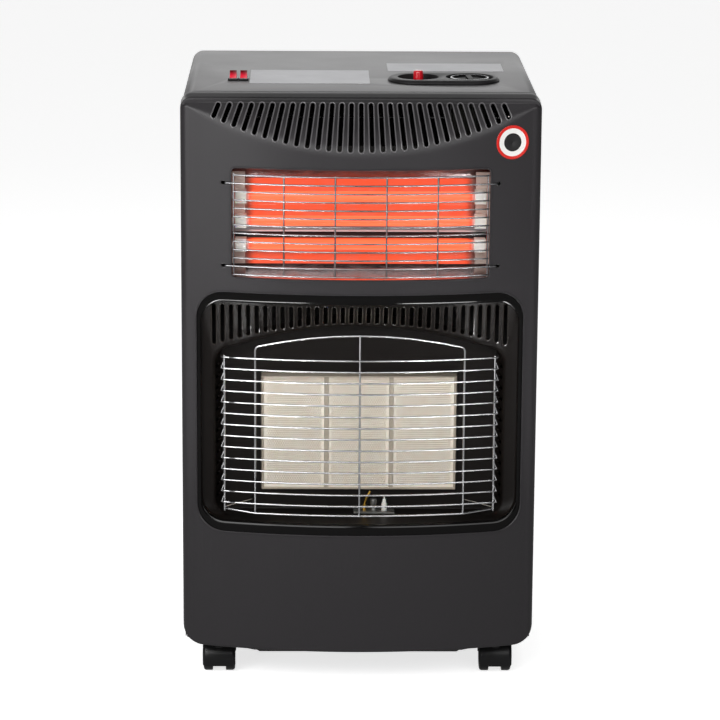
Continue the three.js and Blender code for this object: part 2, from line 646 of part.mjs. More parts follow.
function surroundFunnel(grow, extra) {
  const beadRing = {
    half: burnerCut.halfWidth - bead.inset + grow,
    bottom: burnerCut.bottom + bead.bandHeight - grow,
    shoulder: burnerCut.top - bead.bandHeight + grow,
    crown: burnerCut.top - bead.bandHeight + grow,
    corner: bead.corner + grow,
  };
  const arch = {
    half: archRing.halfWidth + grow, bottom: backRing.bottom - 1 - grow,
    shoulder: archRing.shoulder + grow * 1.4, crown: archRing.crown + grow * 1.4,
    corner: archRing.corner + grow, yAt: () => archRing.y,
  };
  const rear = {
    half: backRing.halfWidth + grow, bottom: backRing.bottom - grow,
    shoulder: archRing.shoulder + 8 + grow, crown: archRing.crown + 10 + grow,
    corner: backRing.corner + grow, yAt: () => burnerBack + extra,
  };
  return loft([
    surroundRing({ ...beadRing, yAt: () => -70 }),
    surroundRing({ ...beadRing, yAt: (x) => bowY(x) + bead.setBack }),
    surroundRing(arch),
    surroundRing(rear)]);
}

function fireSurround() {
  const frontFace = sheet + gap;
  const skin = surroundFunnel(sheet, sheet);
  const flange = prismY(roundedRect(
    -burnerCut.halfWidth - 9, burnerCut.halfWidth + 9, burnerCut.bottom - 12, burnerCut.top + 12,
    burnerCut.corner + 8), -60, 40, 3).intersect(
    prismZ(bowBand(203, frontFace, frontFace + sheet), 150, 520));
  const insideBow = prismZ(bowBand(203, frontFace, () => 60), 150, 520);
  const hollow = surroundFunnel(0, 0);
  const plaqueWindow = box(-plaque.pitch * 1.5 - 1, plaque.pitch * 1.5 + 1, 20, 60,
    plaque.bottom - 3.5, plaque.bottom + plaque.height + 4.5);
  const pilotNotch = box(2, 37, 18, burnerBack - 3, 200, 212);
  const topSlots = range(surroundSlot.count).map((i) => {
    const x = (i - (surroundSlot.count - 1) / 2) * surroundSlot.pitch;
    const rise = (archRing.crown - archRing.shoulder) * (1 - (x / archRing.halfWidth) ** 2);
    const low = archRing.shoulder + rise + 8;
    return prismY(slotShape(x, low, x, surroundSlot.top - 2.5, surroundSlot.width), -60, archRing.y - 1, 1);
  });
  const sideLouvres = range(13).flatMap((i) => [-1, 1].map((side) => box(
    side * 167 - 8, side * 167 + 8, archRing.y + 5, burnerBack - 5, 228 + i * 13.2, 232.5 + i * 13.2)));
  const legHoles = [-1, 1].map((side) => rodY(side * 127, 222, 2.2, 20, 60, 8));
  return cut(
    join(skin.intersect(insideBow), flange), hollow,
    plaqueWindow, pilotNotch, ...topSlots, ...sideLouvres, ...legHoles);
}

function burnerBody() {
  const half = plaque.pitch * 1.5 - 1;
  const z0 = plaque.bottom - 6;
  const z1 = plaque.bottom + plaque.height + 6;
  const y0 = burnerBack + sheet + gap + 7.5;
  const plenum = cut(
    prismY(roundedRect(-half - 5, half + 5, z0 - 2, z1 + 2, 8), burnerBack + sheet + gap, y0 + 34, 1),
    box(-half - 1.6, half + 1.6, 30, y0, plaque.bottom - 3.2, plaque.bottom + plaque.height + 3.2),
    ...[-1, 0, 1].map((i) => box(i * plaque.pitch - plaque.width / 2 + 4, i * plaque.pitch + plaque.width / 2 - 4,
      y0 - 5, y0 + 30, z0 + 10, z1 - 10)));
  const throats = [-1, 0, 1].map((i) => rodZ(i * plaque.pitch, y0 + 17, 11, 176, z0 + 5, 10));
  const mouths = [-1, 0, 1].map((i) => rodZ(i * plaque.pitch, y0 + 17, 8.5, 170, z0 + 14, 10));
  return cut(join(plenum, ...throats), ...mouths);
}

// Sheet frame that clamps the three plaques, with a hood lip along the top.
function burnerFrame() {
  const half = plaque.pitch * 1.5;
  const z0 = plaque.bottom - 2.6;
  const z1 = plaque.bottom + plaque.height + 2.6;
  const y0 = burnerBack - 5.6;
  const rim = cut(
    box(-half, half, y0, burnerBack + sheet + gap + 7, z0, z1),
    ...[-1, 0, 1].map((i) => box(
      i * plaque.pitch - plaque.width / 2 - gap, i * plaque.pitch + plaque.width / 2 + gap,
      y0 - 5, 60, plaque.bottom - gap, plaque.bottom + plaque.height + gap)));
  const lip = box(-half, half, y0 - 7, y0 + 0.5, z1 - sheet, z1);
  return join(rim, lip);
}

function ceramicPlaque(i) {
  const x = (i - 1) * plaque.pitch;
  const w = plaque.width / 2;
  return prismY(roundedRect(x - w, x + w, plaque.bottom, plaque.bottom + plaque.height, 1.5),
    plaque.front, plaque.front + plaque.depth, 1);
}

// Basket guard: bowed rows whose ends turn back, uprights, an arched top wire and two rear legs.
function lowerGuard() {
  const { radius, halfSpan } = lowerWire;
  const thick = radius * 1.15;
  const onBow = (x, z) => [x, bowY(x), z];
  const behind = (x, z) => [x, bowY(x) + radius * barSetBack, z];
  const upright = (x, low, high) => sweep(
    [behind(x, low), behind(x, high)].map((p) => new THREE.Vector3(...p)), thick, 4, barPhase);
  const rows = range(lowerWire.count).map((i) => {
    const z = lowerWire.bottom + i * lowerWire.pitch;
    const tail = (side) => [side * (halfSpan - 1), bowY(halfSpan) + 20, z];
    const run = bowRun(halfSpan).map((x) => onBow(x, z));
    const centres = [tail(-1), ...run, tail(1)].map((p) => new THREE.Vector3(...p));
    return sweep(centres, radius, 5, rowPhase);
  });
  const top = lowerWire.bottom + (lowerWire.count - 1) * lowerWire.pitch;
  const arch = wire([behind(-guardFrame.x, guardFrame.low), behind(-guardFrame.x, guardFrame.shoulder),
    behind(-60, guardFrame.crown - 5), behind(0, guardFrame.crown), behind(60, guardFrame.crown - 5),
    behind(guardFrame.x, guardFrame.shoulder), behind(guardFrame.x, guardFrame.low)], thick, 8, 4, 2, barPhase);
  const legFoot = (side) => [side * 127, 27, 222];
  const legEnd = (side) => [side * 127, 40, 222];
  const shoulder = (side) => [side * halfSpan, bowY(halfSpan) + 6, 221.5];
  const sill = wire([legEnd(-1), legFoot(-1), shoulder(-1), ...[-guardFrame.x, -60, 0, 60, guardFrame.x].map(
    (x) => onBow(x, guardFrame.low)), shoulder(1), legFoot(1), legEnd(1)],
  radius, 6, 5, 1, rowPhase);
  const sides = [-1, 1].map((side) => upright(side * (halfSpan - 2), guardFrame.low + 1.5, top + 1));
  return join(...rows, arch, sill, upright(0, guardFrame.low - 1, guardFrame.crown), ...sides);
}

const pilot = { y: 24, bracketTop: 209.8 };

function pilotBurner() {
  const bracket = box(-6, 43, 12, burnerBack - gap, pilot.bracketTop - 1.5, pilot.bracketTop);
  const head = rodZ(18, pilot.y, 3.2, 205, 221, 12);
  const hood = rodZ(18, pilot.y, 4, 221 - 4, 223.5, 12);
  const stem = rodZ(18, pilot.y, 2.2, 199, 206, 8);
  const holes = [[7, pilot.y, 2.8], [31, pilot.y, 4.3]].map(([x, y, r]) => rodZ(x, y, r, 205, 216, 12));
  return cut(join(bracket, head, hood, stem), ...holes);
}

function thermocouple() {
  const base = wire([[7, pilot.y, 200], [7, pilot.y, 216]], 2.4, 1, 10);
  const probe = wire([[7, pilot.y, 215], [8.5, pilot.y, 222], [14, pilot.y - 1, 233]], 1.5, 3, 8);
  return join(base, probe);
}

function sparkElectrode() {
  const insulator = turned([[0, 0], [3.4, 0], [3.4, 14], [2.2, 17], [2.2, 20], [0, 20]], 31, pilot.y, 203, 14);
  const tip = wire([[31, pilot.y, 222], [31, pilot.y, 227.5], [22, pilot.y, 227.5]], 0.9, 2, 6);
  return join(insulator, tip);
}

function gasManifold() {
  const y = burnerBack + sheet + gap + 7.5 + 17;
  const rail = rodX(y, 160, 6, -95, 150, 12);
  const jets = [-1, 0, 1].map((i) => join(
    rodZ(i * plaque.pitch, y, 4.2, 163, 171, 6), rodZ(i * plaque.pitch, y, 2.2, 170, 181, 10)));
  const feet = [-88, 88].map((x) => box(x - 6, x + 6, y, 92 - gap, 158, 162));
  return join(rail, ...jets, ...feet);
}

function mainGasPipe() {
  const y = burnerBack + sheet + gap + 7.5 + 17;
  const x = knobWell.x - 12;
  const behindBurner = 84;
  return wire([[x, wellY - 6, 645 - gap], [x, wellY - 6, 625], [x, behindBurner, 600],
    [x, behindBurner, 190], [x, y, 178], [x, y, 166.3]], 4, 14, 6, 1);
}

function pilotGasPipe() {
  const x = knobWell.x + 12;
  return wire([[x, wellY - 6, 645 - gap], [x, wellY - 6, 630], [x + 20, 80, 600], [186, 40, 540],
    [186, 40, 190], [60, 40, 190], [18, pilot.y, 190], [18, pilot.y, 199 - gap]],
  2, 8, 5, 1);
}

// ---------------------------------------------------------------- casters
function casterMount(x, y) {
  const plateTop = tray.top - tray.sheet - gap;
  const plate = prismZ(roundedRect(x - 19, x + 19, y - 19, y + 19, 4), plateTop - 1.6, plateTop, 1);
  return join(plate, rodZ(x, y, 3.9, 31, plateTop - 1, 8));
}

// Hood of a twin-wheel caster: arched cover, web between the wheels, stem boss and axle.
function casterHood(x, y) {
  const axleY = caster.trail;
  const axleZ = caster.wheelRadius;
  const coverIn = axleZ + 0.9;
  const coverOut = axleZ + 2.5;
  const half = caster.wheelOuter + 0.6;
  const webHalf = caster.wheelInner - 0.6;
  const arc = (r) => range(9).map((i) => {
    const angle = -0.15 + (i / 8) * (Math.PI + 0.95);
    return [axleY + Math.cos(angle) * r, axleZ + Math.sin(angle) * r];
  });
  const cover = prismX(outline([...arc(coverOut), ...arc(coverIn).reverse()]), -half, half);
  const web = prismX(outline([...arc(coverIn + 0.5), [axleY - 8, axleZ - 13], [axleY + 8, axleZ - 13]]),
    -webHalf, webHalf);
  const boss = rodZ(0, 0, webHalf - 0.1, 33, 45.1, 10);
  const axle = rodX(axleY, axleZ, 3, -caster.wheelOuter, caster.wheelOuter, 8);
  const stemBore = rodZ(0, 0, 4.3, 30.7, 50, 8);
  return cut(join(cover, web, boss, axle), stemBore).translate([x, y, 0]);
}

function casterWheel(x, y, side) {
  const width = caster.wheelOuter - caster.wheelInner;
  const r = caster.wheelRadius;
  const profile = [[3.3, 0], [r, 0], [r, width - 2.5], [r - 3, width - 0.2], [3.3, width - 2.4]];
  const wheel = turned(profile, 0, 0, 0, 16);
  const upright = wheel.rotate([0, side > 0 ? 90 : -90, 0]);
  return upright.translate([x + side * caster.wheelInner, y + caster.trail, r]);
}

// ---------------------------------------------------------------- assembly
add('front_panel', frontPanel(), steelPaint);
add('cabinet_wrap', cabinetWrap(), steelPaint);
add('base_tray', baseTray(), steelPaint);
add('rear_top_panel', rearTopPanel(), steelPaint);
add('rear_cover', rearCover(), steelPaint);
add('heat_shield', heatShield(), zincSteel);
add('cord_gland', cordGland(), blackPlastic);

add('control_bezel', controlBezel(), blackPlastic);
add('control_knob', controlKnob(), blackPlastic);
add('valve_spindle', valveSpindle(), zincSteel);
add('gas_valve', gasValve(), zincSteel);
add('hose_nozzle', hoseNozzle(), brass);
add('piezo_igniter', piezoIgniter(), blackPlastic);
add('piezo_button', piezoButton(), redPlastic);
rocker.xs.forEach((x, i) => {
  add(`switch_frame_${i + 1}`, switchFrame(x), blackPlastic);
  add(`rocker_${i + 1}`, rockerKey(x), redPlastic);
});

add('upper_reflector', upperReflector(), polished);
add('element_bracket_left', elementBracket(-1), zincSteel);
add('element_bracket_right', elementBracket(1), zincSteel);
quartz.zs.forEach((z, i) => {
  add(`quartz_tube_${i + 1}`, quartzTube(z), { color: 0xe88a5a, roughness: 0.2, metalness: 0 });
  add(`element_cap_left_${i + 1}`, elementCap(-1, z), whiteCeramic);
  add(`element_cap_right_${i + 1}`, elementCap(1, z), whiteCeramic);
});
add('upper_guard', upperGuard(), wireChrome);

add('fire_surround', fireSurround(), blackEnamel);
add('burner_body', burnerBody(), zincSteel);
add('burner_frame', burnerFrame(), zincSteel);
range(3).forEach((i) => add(`ceramic_plaque_${i + 1}`, ceramicPlaque(i), creamCeramic));
add('lower_guard', lowerGuard(), wireChrome);
add('pilot_burner', pilotBurner(), zincSteel);
add('thermocouple', thermocouple(), brass);
add('spark_electrode', sparkElectrode(), whiteCeramic);
add('gas_manifold', gasManifold(), zincSteel);
add('main_gas_pipe', mainGasPipe(), zincSteel);
add('pilot_gas_pipe', pilotGasPipe(), zincSteel);

[['front_left', -1, caster.frontY], ['front_right', 1, caster.frontY],
  ['rear_left', -1, caster.rearY], ['rear_right', 1, caster.rearY]].forEach(([place, side, y]) => {
  const x = side * caster.x;
  add(`caster_mount_${place}`, casterMount(x, y), zincSteel);
  add(`caster_hood_${place}`, casterHood(x, y), blackPlastic);
  add(`caster_wheel_${place}_a`, casterWheel(x, y, -1), blackPlastic);
  add(`caster_wheel_${place}_b`, casterWheel(x, y, 1), blackPlastic);
});

// The guard's foremost wire and the rear edge of the cabinet are set equally far from the origin.
const foremost = bowY(0) - upperWire.radius * 2 - gap;
heater.position.y = -(foremost + body.back) / 2;
heater.updateMatrixWorld(true);

export default heater;
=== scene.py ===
"""Looks of a portable gas cabinet heater with an electric quartz heater above the fire.

Blender 4.5. Sizes are millimetres in the part's frame before it is centred: x to the right, y to the rear
from the side edges of the front panel, z up from the floor. place() turns them into the frame's metres.
"""

import json
import math

import bmesh
import bpy
from mathutils import Matrix, Vector
from mathutils.bvhtree import BVHTree
from mathutils.interpolate import poly_3d_calc

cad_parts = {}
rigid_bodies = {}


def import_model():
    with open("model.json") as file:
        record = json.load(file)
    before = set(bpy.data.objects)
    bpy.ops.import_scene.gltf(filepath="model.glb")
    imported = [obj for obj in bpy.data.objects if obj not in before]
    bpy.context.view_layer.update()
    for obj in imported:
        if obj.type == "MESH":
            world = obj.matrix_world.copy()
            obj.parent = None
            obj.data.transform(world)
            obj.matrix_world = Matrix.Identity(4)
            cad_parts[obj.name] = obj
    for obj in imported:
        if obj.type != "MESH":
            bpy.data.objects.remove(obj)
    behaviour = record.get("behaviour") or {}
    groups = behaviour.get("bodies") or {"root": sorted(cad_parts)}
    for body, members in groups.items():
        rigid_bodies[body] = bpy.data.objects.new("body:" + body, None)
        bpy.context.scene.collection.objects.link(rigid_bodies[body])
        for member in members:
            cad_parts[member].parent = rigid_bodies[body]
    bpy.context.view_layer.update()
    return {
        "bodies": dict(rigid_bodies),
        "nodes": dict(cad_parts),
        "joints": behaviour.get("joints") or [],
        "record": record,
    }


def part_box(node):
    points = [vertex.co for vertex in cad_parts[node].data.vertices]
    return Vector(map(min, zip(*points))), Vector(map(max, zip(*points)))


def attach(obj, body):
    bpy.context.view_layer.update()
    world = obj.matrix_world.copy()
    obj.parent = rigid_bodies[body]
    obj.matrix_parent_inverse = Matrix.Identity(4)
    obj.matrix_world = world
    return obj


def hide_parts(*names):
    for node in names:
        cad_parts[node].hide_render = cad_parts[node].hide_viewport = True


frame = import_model()
nodes = frame["nodes"]
scene = bpy.context.scene

# ---- dimensions, in mm
SHEET = 1.2
REAR = 373.0
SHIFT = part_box("cabinet_wrap")[1].y * 1000 - REAR

HALF, BOW, EDGE_R = 210.0, 36.0, 10.0
FRONT_BOTTOM, FRONT_TOP, FRONT_BACK = 49.2, 714.6, 28.0
BOTTOM_CORNER, TOP_CORNER, RIM_RETURN = 24.0, 14.0, 12.0
SCOOP_TOP, SCOOP_SLOPE, SCOOP_FADE = 706.0, 1.48, 12
CREASE_R, CREASE_LIFT, CROWN_HEIGHT, CROWN_SLOPE = 36, 3.5, 6.9, 2.4
VENTS, VENT_PITCH, VENT_TOP, VENT_WIDTH, VENT_EXTRA = 29, 12.55, 705.6, 5.0, 2.2
FAN_RADIUS, FAN_CENTRE = 421.4, 1077.0
WINDOW = (-150.0, 150.0, 503.5, 632.6, 5.0)
FIRE_HOLE = (-192.0, 192.0, 194.3, 485.5, 32.0)
AHEAD = -90.0

UPPER_ROWS, UPPER_TOP, UPPER_PITCH, UPPER_R = 13, 624.6, 9.775, 1.15
HOOK_X, HOOK_HOLE_X = 158.2, 159.6
UPPER_BARS = (-147.5, -89.3, -29.8, 29.8, 89.3, 147.5)
HOOK_ROWS = (1, 11)

MOUTH_HALF, MOUTH_SHOULDER, MOUTH_CROWN = 171, 412, 438
SLOTS, SLOT_PITCH, SLOT_TOP, SLOT_WIDTH = 35, 10.1, 465.5, 5.0

LOWER_ROWS, LOWER_BOTTOM, LOWER_PITCH, LOWER_R, LOWER_SPAN = 14, 230.6, 13.58, 1.2, 163.2
ARCH_X, ARCH_LOW, ARCH_SHOULDER, ARCH_CROWN = 123.0, 219.0, 421.0, 437.0
ARCH_STEPS = (-92, -60, -30, 0, 30, 60, 92)

TUBE_ZS, TUBE_Y, TUBE_R, TUBE_HALF = (595.0, 566.0, 538.0), 6.0, 6.0, 133.0
PLAQUE_PITCH, PLAQUE_W, PLAQUE_H = 77.4, 72.0, 136.0
PLAQUE_BOTTOM, PLAQUE_FRONT, PLAQUE_DEPTH = 236.5, 30.2, 12.0
BURNER_BACK = 34.0
WELL_Y, KNOB_X, BUTTON_X = 120.0, 131.0, 69.7
DECK, BADGE_X = 715.0, 175.3
CASTERS = {"front_left": (-168.0, 36.0), "front_right": (168.0, 36.0),
           "rear_left": (-168.0, 337.0), "rear_right": (168.0, 337.0)}

BOW_R = (HALF ** 2 + BOW ** 2) / (2 * BOW)


def bow(x):
    """y of the bowed front at x."""
    return BOW_R - BOW - math.sqrt(BOW_R ** 2 - x ** 2)


def place(p):
    return Vector((p[0], p[1] + SHIFT, p[2])) / 1000


# ---- materials
NOISE_LOW, NOISE_HIGH = 0.3, 0.7
BOW_CURVE = 0.82


def srgb(hex_code):
    """Linear colour of a hex code such as 3f4044."""
    channels = [int(hex_code[i:i + 2], 16) / 255 for i in (0, 2, 4)]
    return tuple(c / 12.92 if c < 0.04045 else ((c + 0.055) / 1.055) ** 2.4 for c in channels) + (1.0,)


def port(mat, name):
    """An input of the material's Principled shader."""
    return mat.node_tree.nodes["Principled BSDF"].inputs[name]


def shader(name, base, rough=0.5, metal=0.0, **inputs):
    """A Principled material; inputs are further socket values by name, with _ for spaces."""
    mat = bpy.data.materials.new(name)
    mat.use_nodes = True
    for key, value in {"Base_Color": srgb(base), "Roughness": rough, "Metallic": metal, **inputs}.items():
        port(mat, key.replace("_", " ")).default_value = value
    return mat


def node(mat, kind, output, inputs=None, **props):
    """Adds a node and gives its output. The inputs are numbers, colours or sockets, by name or index."""
    made = mat.node_tree.nodes.new("ShaderNode" + kind)
    for key, value in props.items():
        setattr(made, key, value)
    for key, value in (inputs or {}).items():
        if isinstance(value, bpy.types.NodeSocket):
            mat.node_tree.links.new(value, made.inputs[key])
        else:
            made.inputs[key].default_value = value
    return made.outputs[output]


def plug(mat, name, socket):
    mat.node_tree.links.new(socket, port(mat, name))


def plugged(mat, name):
    """The socket that feeds an input of the shader."""
    return port(mat, name).links[0].from_socket


def coords(mat, scale=(1, 1, 1)):
    """Object coordinates in metres, stretched by scale."""
    return node(mat, "Mapping", "Vector", {"Vector": node(mat, "TexCoord", "Object"), "Scale": scale})


def axes(mat):
    """Sockets of x, y and z in metres."""
    return list(node(mat, "SeparateXYZ", "X", {"Vector": coords(mat)}).node.outputs)


def noise(mat, scale, detail=3.0, stretch=(1, 1, 1)):
    return node(mat, "TexNoise", "Fac", {"Scale": scale, "Detail": detail, "Vector": coords(mat, stretch)})


def combine(mat, operation, *values):
    return node(mat, "Math", "Value", dict(enumerate(values)), operation=operation)


def ramp(mat, value, low, high, to_low=0.0, to_high=1.0, curve="SMOOTHSTEP"):
    """A socket's span from low to high carried over to another span."""
    inputs = {"Value": value, "From Min": low, "From Max": high, "To Min": to_low, "To Max": to_high}
    return node(mat, "MapRange", "Result", inputs, interpolation_type=curve)


def blend(mat, factor, first, second):
    """A colour between a hex code or a socket and a second hex code."""
    start = srgb(first) if isinstance(first, str) else first
    return node(mat, "Mix", "Result", {"Factor": factor, "A": start, "B": srgb(second)}, data_type="RGBA")


def bump(mat, height, strength, distance):
    """Adds a bump from a height socket, over any that is there."""
    inputs = {"Strength": strength, "Distance": distance, "Height": height}
    if port(mat, "Normal").is_linked:
        inputs["Normal"] = plugged(mat, "Normal")
    plug(mat, "Normal", node(mat, "Bump", "Normal", inputs))


def vary(mat, name, factor, low, high):
    """Drives one input from low to high by a noise; colours are hex codes."""
    if isinstance(low, str):
        plug(mat, name, blend(mat, ramp(mat, factor, NOISE_LOW, NOISE_HIGH, curve="LINEAR"), low, high))
    else:
        plug(mat, name, ramp(mat, factor, NOISE_LOW, NOISE_HIGH, low, high, "LINEAR"))


def paint_material(name, low, high, rough, shine):
    """Dark grey powder coat with fine metallic grain."""
    mat = shader(name, low, rough, Specular_IOR_Level=shine)
    vary(mat, "Base Color", noise(mat, 2600, 2.0), low, high)
    vary(mat, "Roughness", noise(mat, 9, 4.0), rough * 0.95, rough * 1.1)
    bump(mat, noise(mat, 1500, 3.0), 0.12, 0.00006)
    return mat


def bow_depth(mat, x, y):
    """How far a point lies behind the parabola that the bowed front follows."""
    square = combine(mat, "POWER", combine(mat, "ABSOLUTE", x), 2.0)
    return combine(mat, "ADD", combine(mat, "MULTIPLY", square, -BOW_CURVE), y)


def front_material():
    """The front panel's coat: a darker copy of the cabinet's powder coat as painted shade, duller on the
    rubbed crown, and with painted shade darkening the sloping vent scoop in the middle.
    """
    # Painted shade: these base colours are darker than the cabinet's powder coat, which is the same paint.
    mat = paint_material("front_coat", "292729", "333133", 0.35, 0.32)
    x, y, z = axes(mat)
    ahead = ramp(mat, y, -0.139, -0.153, 0.5, 1.0)
    crown = combine(mat, "MULTIPLY", ramp(mat, z, 0.7075, 0.7125, 0.0, 0.8), ahead)
    plug(mat, "Roughness", combine(mat, "MAXIMUM", plugged(mat, "Roughness"), crown))
    middle = ramp(mat, combine(mat, "ABSOLUTE", x), 0.1, 0.195, 1.0, 0.0)
    above = combine(mat, "MULTIPLY", ramp(mat, z, 0.625, 0.65), middle)
    # Painted shade: the sloping vent scoop in the middle is coloured towards near-black.
    vent_shade = combine(mat, "MULTIPLY", above, ramp(mat, bow_depth(mat, x, y), -0.196, -0.184, 0.0, 0.75))
    plug(mat, "Base Color", blend(mat, vent_shade, plugged(mat, "Base Color"), "131213"))
    return mat


def enamel_material():
    """Black vitreous enamel with a slight orange peel, glossy on the flange and duller deeper in."""
    mat = shader("black_enamel", "060505", 0.1, Specular_IOR_Level=0.2)
    bump(mat, noise(mat, 45, 2.0), 0.06, 0.0004)
    bump(mat, noise(mat, 900, 2.0), 0.05, 0.00003)
    x, y, _ = axes(mat)
    deep = ramp(mat, bow_depth(mat, x, y), -0.1985, -0.1935)
    vary(mat, "Roughness", deep, 0.1, 0.4)
    vary(mat, "Base Color", deep, "060505", "120e0c")
    return mat


def brushed(name, low, high, rough, grain=(1, 1, 60), scale=40, metal=1.0):
    mat = shader(name, low, rough, metal)
    streaks = noise(mat, scale, 4.0, grain)
    vary(mat, "Base Color", streaks, low, high)
    vary(mat, "Roughness", streaks, rough * 0.8, rough * 1.3)
    bump(mat, streaks, 0.1, 0.00004)
    return mat


def plastic(name, low, high, rough, grain=900, **inputs):
    mat = shader(name, low, rough, **inputs)
    vary(mat, "Base Color", noise(mat, 60, 4.0), low, high)
    vary(mat, "Roughness", noise(mat, 25, 3.0), rough * 0.85, rough * 1.15)
    bump(mat, noise(mat, grain, 2.0), 0.12, 0.00005)
    return mat


def wire_material(name, low, high):
    mat = shader(name, low, 0.18, 1.0)
    vary(mat, "Roughness", noise(mat, 150, 3.0), 0.12, 0.24)
    vary(mat, "Base Color", noise(mat, 60, 3.0), low, high)
    return mat


def ceramic_material(name, low, high, rough):
    mat = shader(name, low, rough, Subsurface_Weight=0.08, Subsurface_Scale=0.002)
    vary(mat, "Base Color", noise(mat, 90, 5.0), low, high)
    bump(mat, noise(mat, 1400, 3.0), 0.25, 0.00008)
    return mat


def quartz_material():
    """Milky quartz that glows orange over a dark base between its cold grey ends."""
    cold, hot, strength = 0.135, 0.124, 1.9
    mat = shader("hot_quartz", "cfc6c2", 0.3)
    glow = ramp(mat, combine(mat, "ABSOLUTE", axes(mat)[0]), cold, hot, 0.0, strength)
    plug(mat, "Emission Strength", glow)
    plug(mat, "Emission Color", blend(mat, noise(mat, 14, 3.0, (0.6, 5, 26)), "ff4c2c", "ff6840"))
    plug(mat, "Base Color", blend(mat, glow, "cfc6c2", "3a2620"))
    return mat


def lens_material():
    """Red rocker key with painted light and shade: its low front half, which faces the light, is coloured and
    glows brighter, and its raised rear half darker.
    """
    mat = shader("red_lens", "c40c20", 0.28, Specular_IOR_Level=0.12, Emission_Strength=0.1)
    # Painted light and shade: colour and glow go from bright red low down to dark red higher up.
    height = ramp(mat, axes(mat)[2], 0.7198, 0.7236, curve="LINEAR")
    for name in ("Base Color", "Emission Color"):
        plug(mat, name, blend(mat, height, "f0203c", "6a0410"))
    bump(mat, noise(mat, 500, 2.0), 0.12, 0.00005)
    return mat


def reflector_material():
    """Polished sheet with soft dents that break its reflections up."""
    mat = shader("polished_sheet", "c4c0c0", 0.18, 1.0)
    vary(mat, "Roughness", noise(mat, 60, 3.0), 0.13, 0.25)
    bump(mat, noise(mat, 14, 2.0, (0.35, 1, 1)), 0.35, 0.0016)
    return mat


PAINT = paint_material("powder_coat", "2f2d2f", "3a383a", 0.38, 0.4)
FRONT_PAINT = front_material()
# Painted highlight: a lighter, glossier copy of the cabinet paint for the rolled rims of the vent slots.
HIGHLIGHT_EDGE_PAINT = paint_material("edge_coat_painted_highlight", "5a585a", "666466", 0.24, 0.6)
VALVE = brushed("valve_cast", "3c3c3a", "4c4c49", 0.5, (1, 1, 1), 400)
ENAMEL = enamel_material()
ZINC = brushed("zinc_sheet", "8f9193", "a9abad", 0.38)
CAST = brushed("zinc_cast", "8a8a88", "a2a29e", 0.45, (1, 1, 1), 400)
PIPE = brushed("pipe_steel", "9c9c9a", "b4b4b0", 0.3, (1, 1, 1), 120)
BURNER_STEEL = brushed("burner_steel", "8f8a80", "a8a296", 0.42, (30, 1, 1))
BRACKET = brushed("bracket_steel", "bfaea4", "d8cbc2", 0.42, (1, 1, 30), metal=0.35)
BRASS = brushed("brass", "a9802f", "c69d4c", 0.28, (1, 1, 1), 200)
SPINDLE = brushed("spindle_steel", "8c8e90", "a6a8aa", 0.3, (1, 1, 1), 200)
BLACK = plastic("black_plastic", "1b1a1b", "232224", 0.34)
CASTER = plastic("caster_plastic", "0e0e0f", "151517", 0.36, Specular_IOR_Level=0.35)
TREAD = plastic("caster_tread", "1c1c1d", "262628", 0.55)
RED = plastic("red_plastic", "c4101c", "d81a28", 0.22, 700, Coat_Weight=0.4, Coat_Roughness=0.08)
RED_CLEAR = lens_material()
BEZEL = plastic("bezel_plastic", "232223", "2b2a2b", 0.45, Specular_IOR_Level=0.12)
DIAL = plastic("dial_plastic", "121112", "191819", 0.5, Specular_IOR_Level=0.08)
EDGE_CHROME = shader("dial_edge", "8c8c8e", 0.16, 1.0)
# Painted shade and highlight: both guards are one chromed wire, the upper one given a darker base and the
# lower one a brighter base.
CHROME = wire_material("chromed_wire", "8c8c8e", "a6a6a8")
CHROME_LOW = wire_material("chromed_cage_painted_highlight", "c4c4c6", "d8d8da")
# Painted shade: the heat shield is given a near-black coat so that what shows through the slots reads as
# shade.
SHIELD_AS_SHADE = brushed("shield_sheet_painted_shade", "222120", "302e2c", 0.6, metal=0.5)
# Painted highlight: a lighter copy of the black enamel for the rims of the surround's slots.
HIGHLIGHT_ENAMEL_EDGE = plastic("enamel_edge_painted_highlight", "24201e", "302b28", 0.14, 60, Specular_IOR_Level=0.6)
PLAQUE = ceramic_material("cream_ceramic", "f4e9d9", "faf2e5", 0.85)
WHITE_CERAMIC = ceramic_material("white_ceramic", "e9e6df", "f6f4ee", 0.45)
QUARTZ = quartz_material()
REFLECTOR = reflector_material()
DIVIDER = brushed("divider_steel", "b4a795", "c9bfb0", 0.5, (1, 1, 40), metal=0.45)


# ---- mesh helpers
def shade_smooth(mesh, angle=None):
    """Smooth shading, with edges sharper than an angle in degrees kept sharp."""
    mesh.polygons.foreach_set("use_smooth", [True] * len(mesh.polygons))
    if angle:
        mesh.set_sharp_from_angle(angle=math.radians(angle))


def raw_object(name, parts, angle=35):
    """One mesh object from (points in mm, faces) parts, with outward normals and no doubled points."""
    points, faces = [], []
    for part_points, part_faces in parts:
        start = len(points)
        points.extend(place(p) for p in part_points)
        faces.extend([start + i for i in face] for face in part_faces)
    mesh = bpy.data.meshes.new(name)
    mesh.from_pydata(points, [], faces)
    work = bmesh.new()
    work.from_mesh(mesh)
    bmesh.ops.remove_doubles(work, verts=work.verts, dist=2e-6)
    bmesh.ops.dissolve_degenerate(work, edges=work.edges, dist=1e-6)
    bmesh.ops.recalc_face_normals(work, faces=work.faces)
    work.to_mesh(mesh)
    work.free()
    shade_smooth(mesh, angle)
    obj = bpy.data.objects.new(name, mesh)
    scene.collection.objects.link(obj)
    return obj


def piece(name, parts, material, body="cabinet", replaces=(), angle=35):
    obj = raw_object(name, parts, angle)
    obj.data.materials.append(material)
    return settle(obj, body, replaces)


def settle(obj, body="cabinet", replaces=()):
    """The piece rides its body and stands for its CAD nodes."""
    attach(obj, body)
    if replaces:
        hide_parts(*replaces)
    return obj


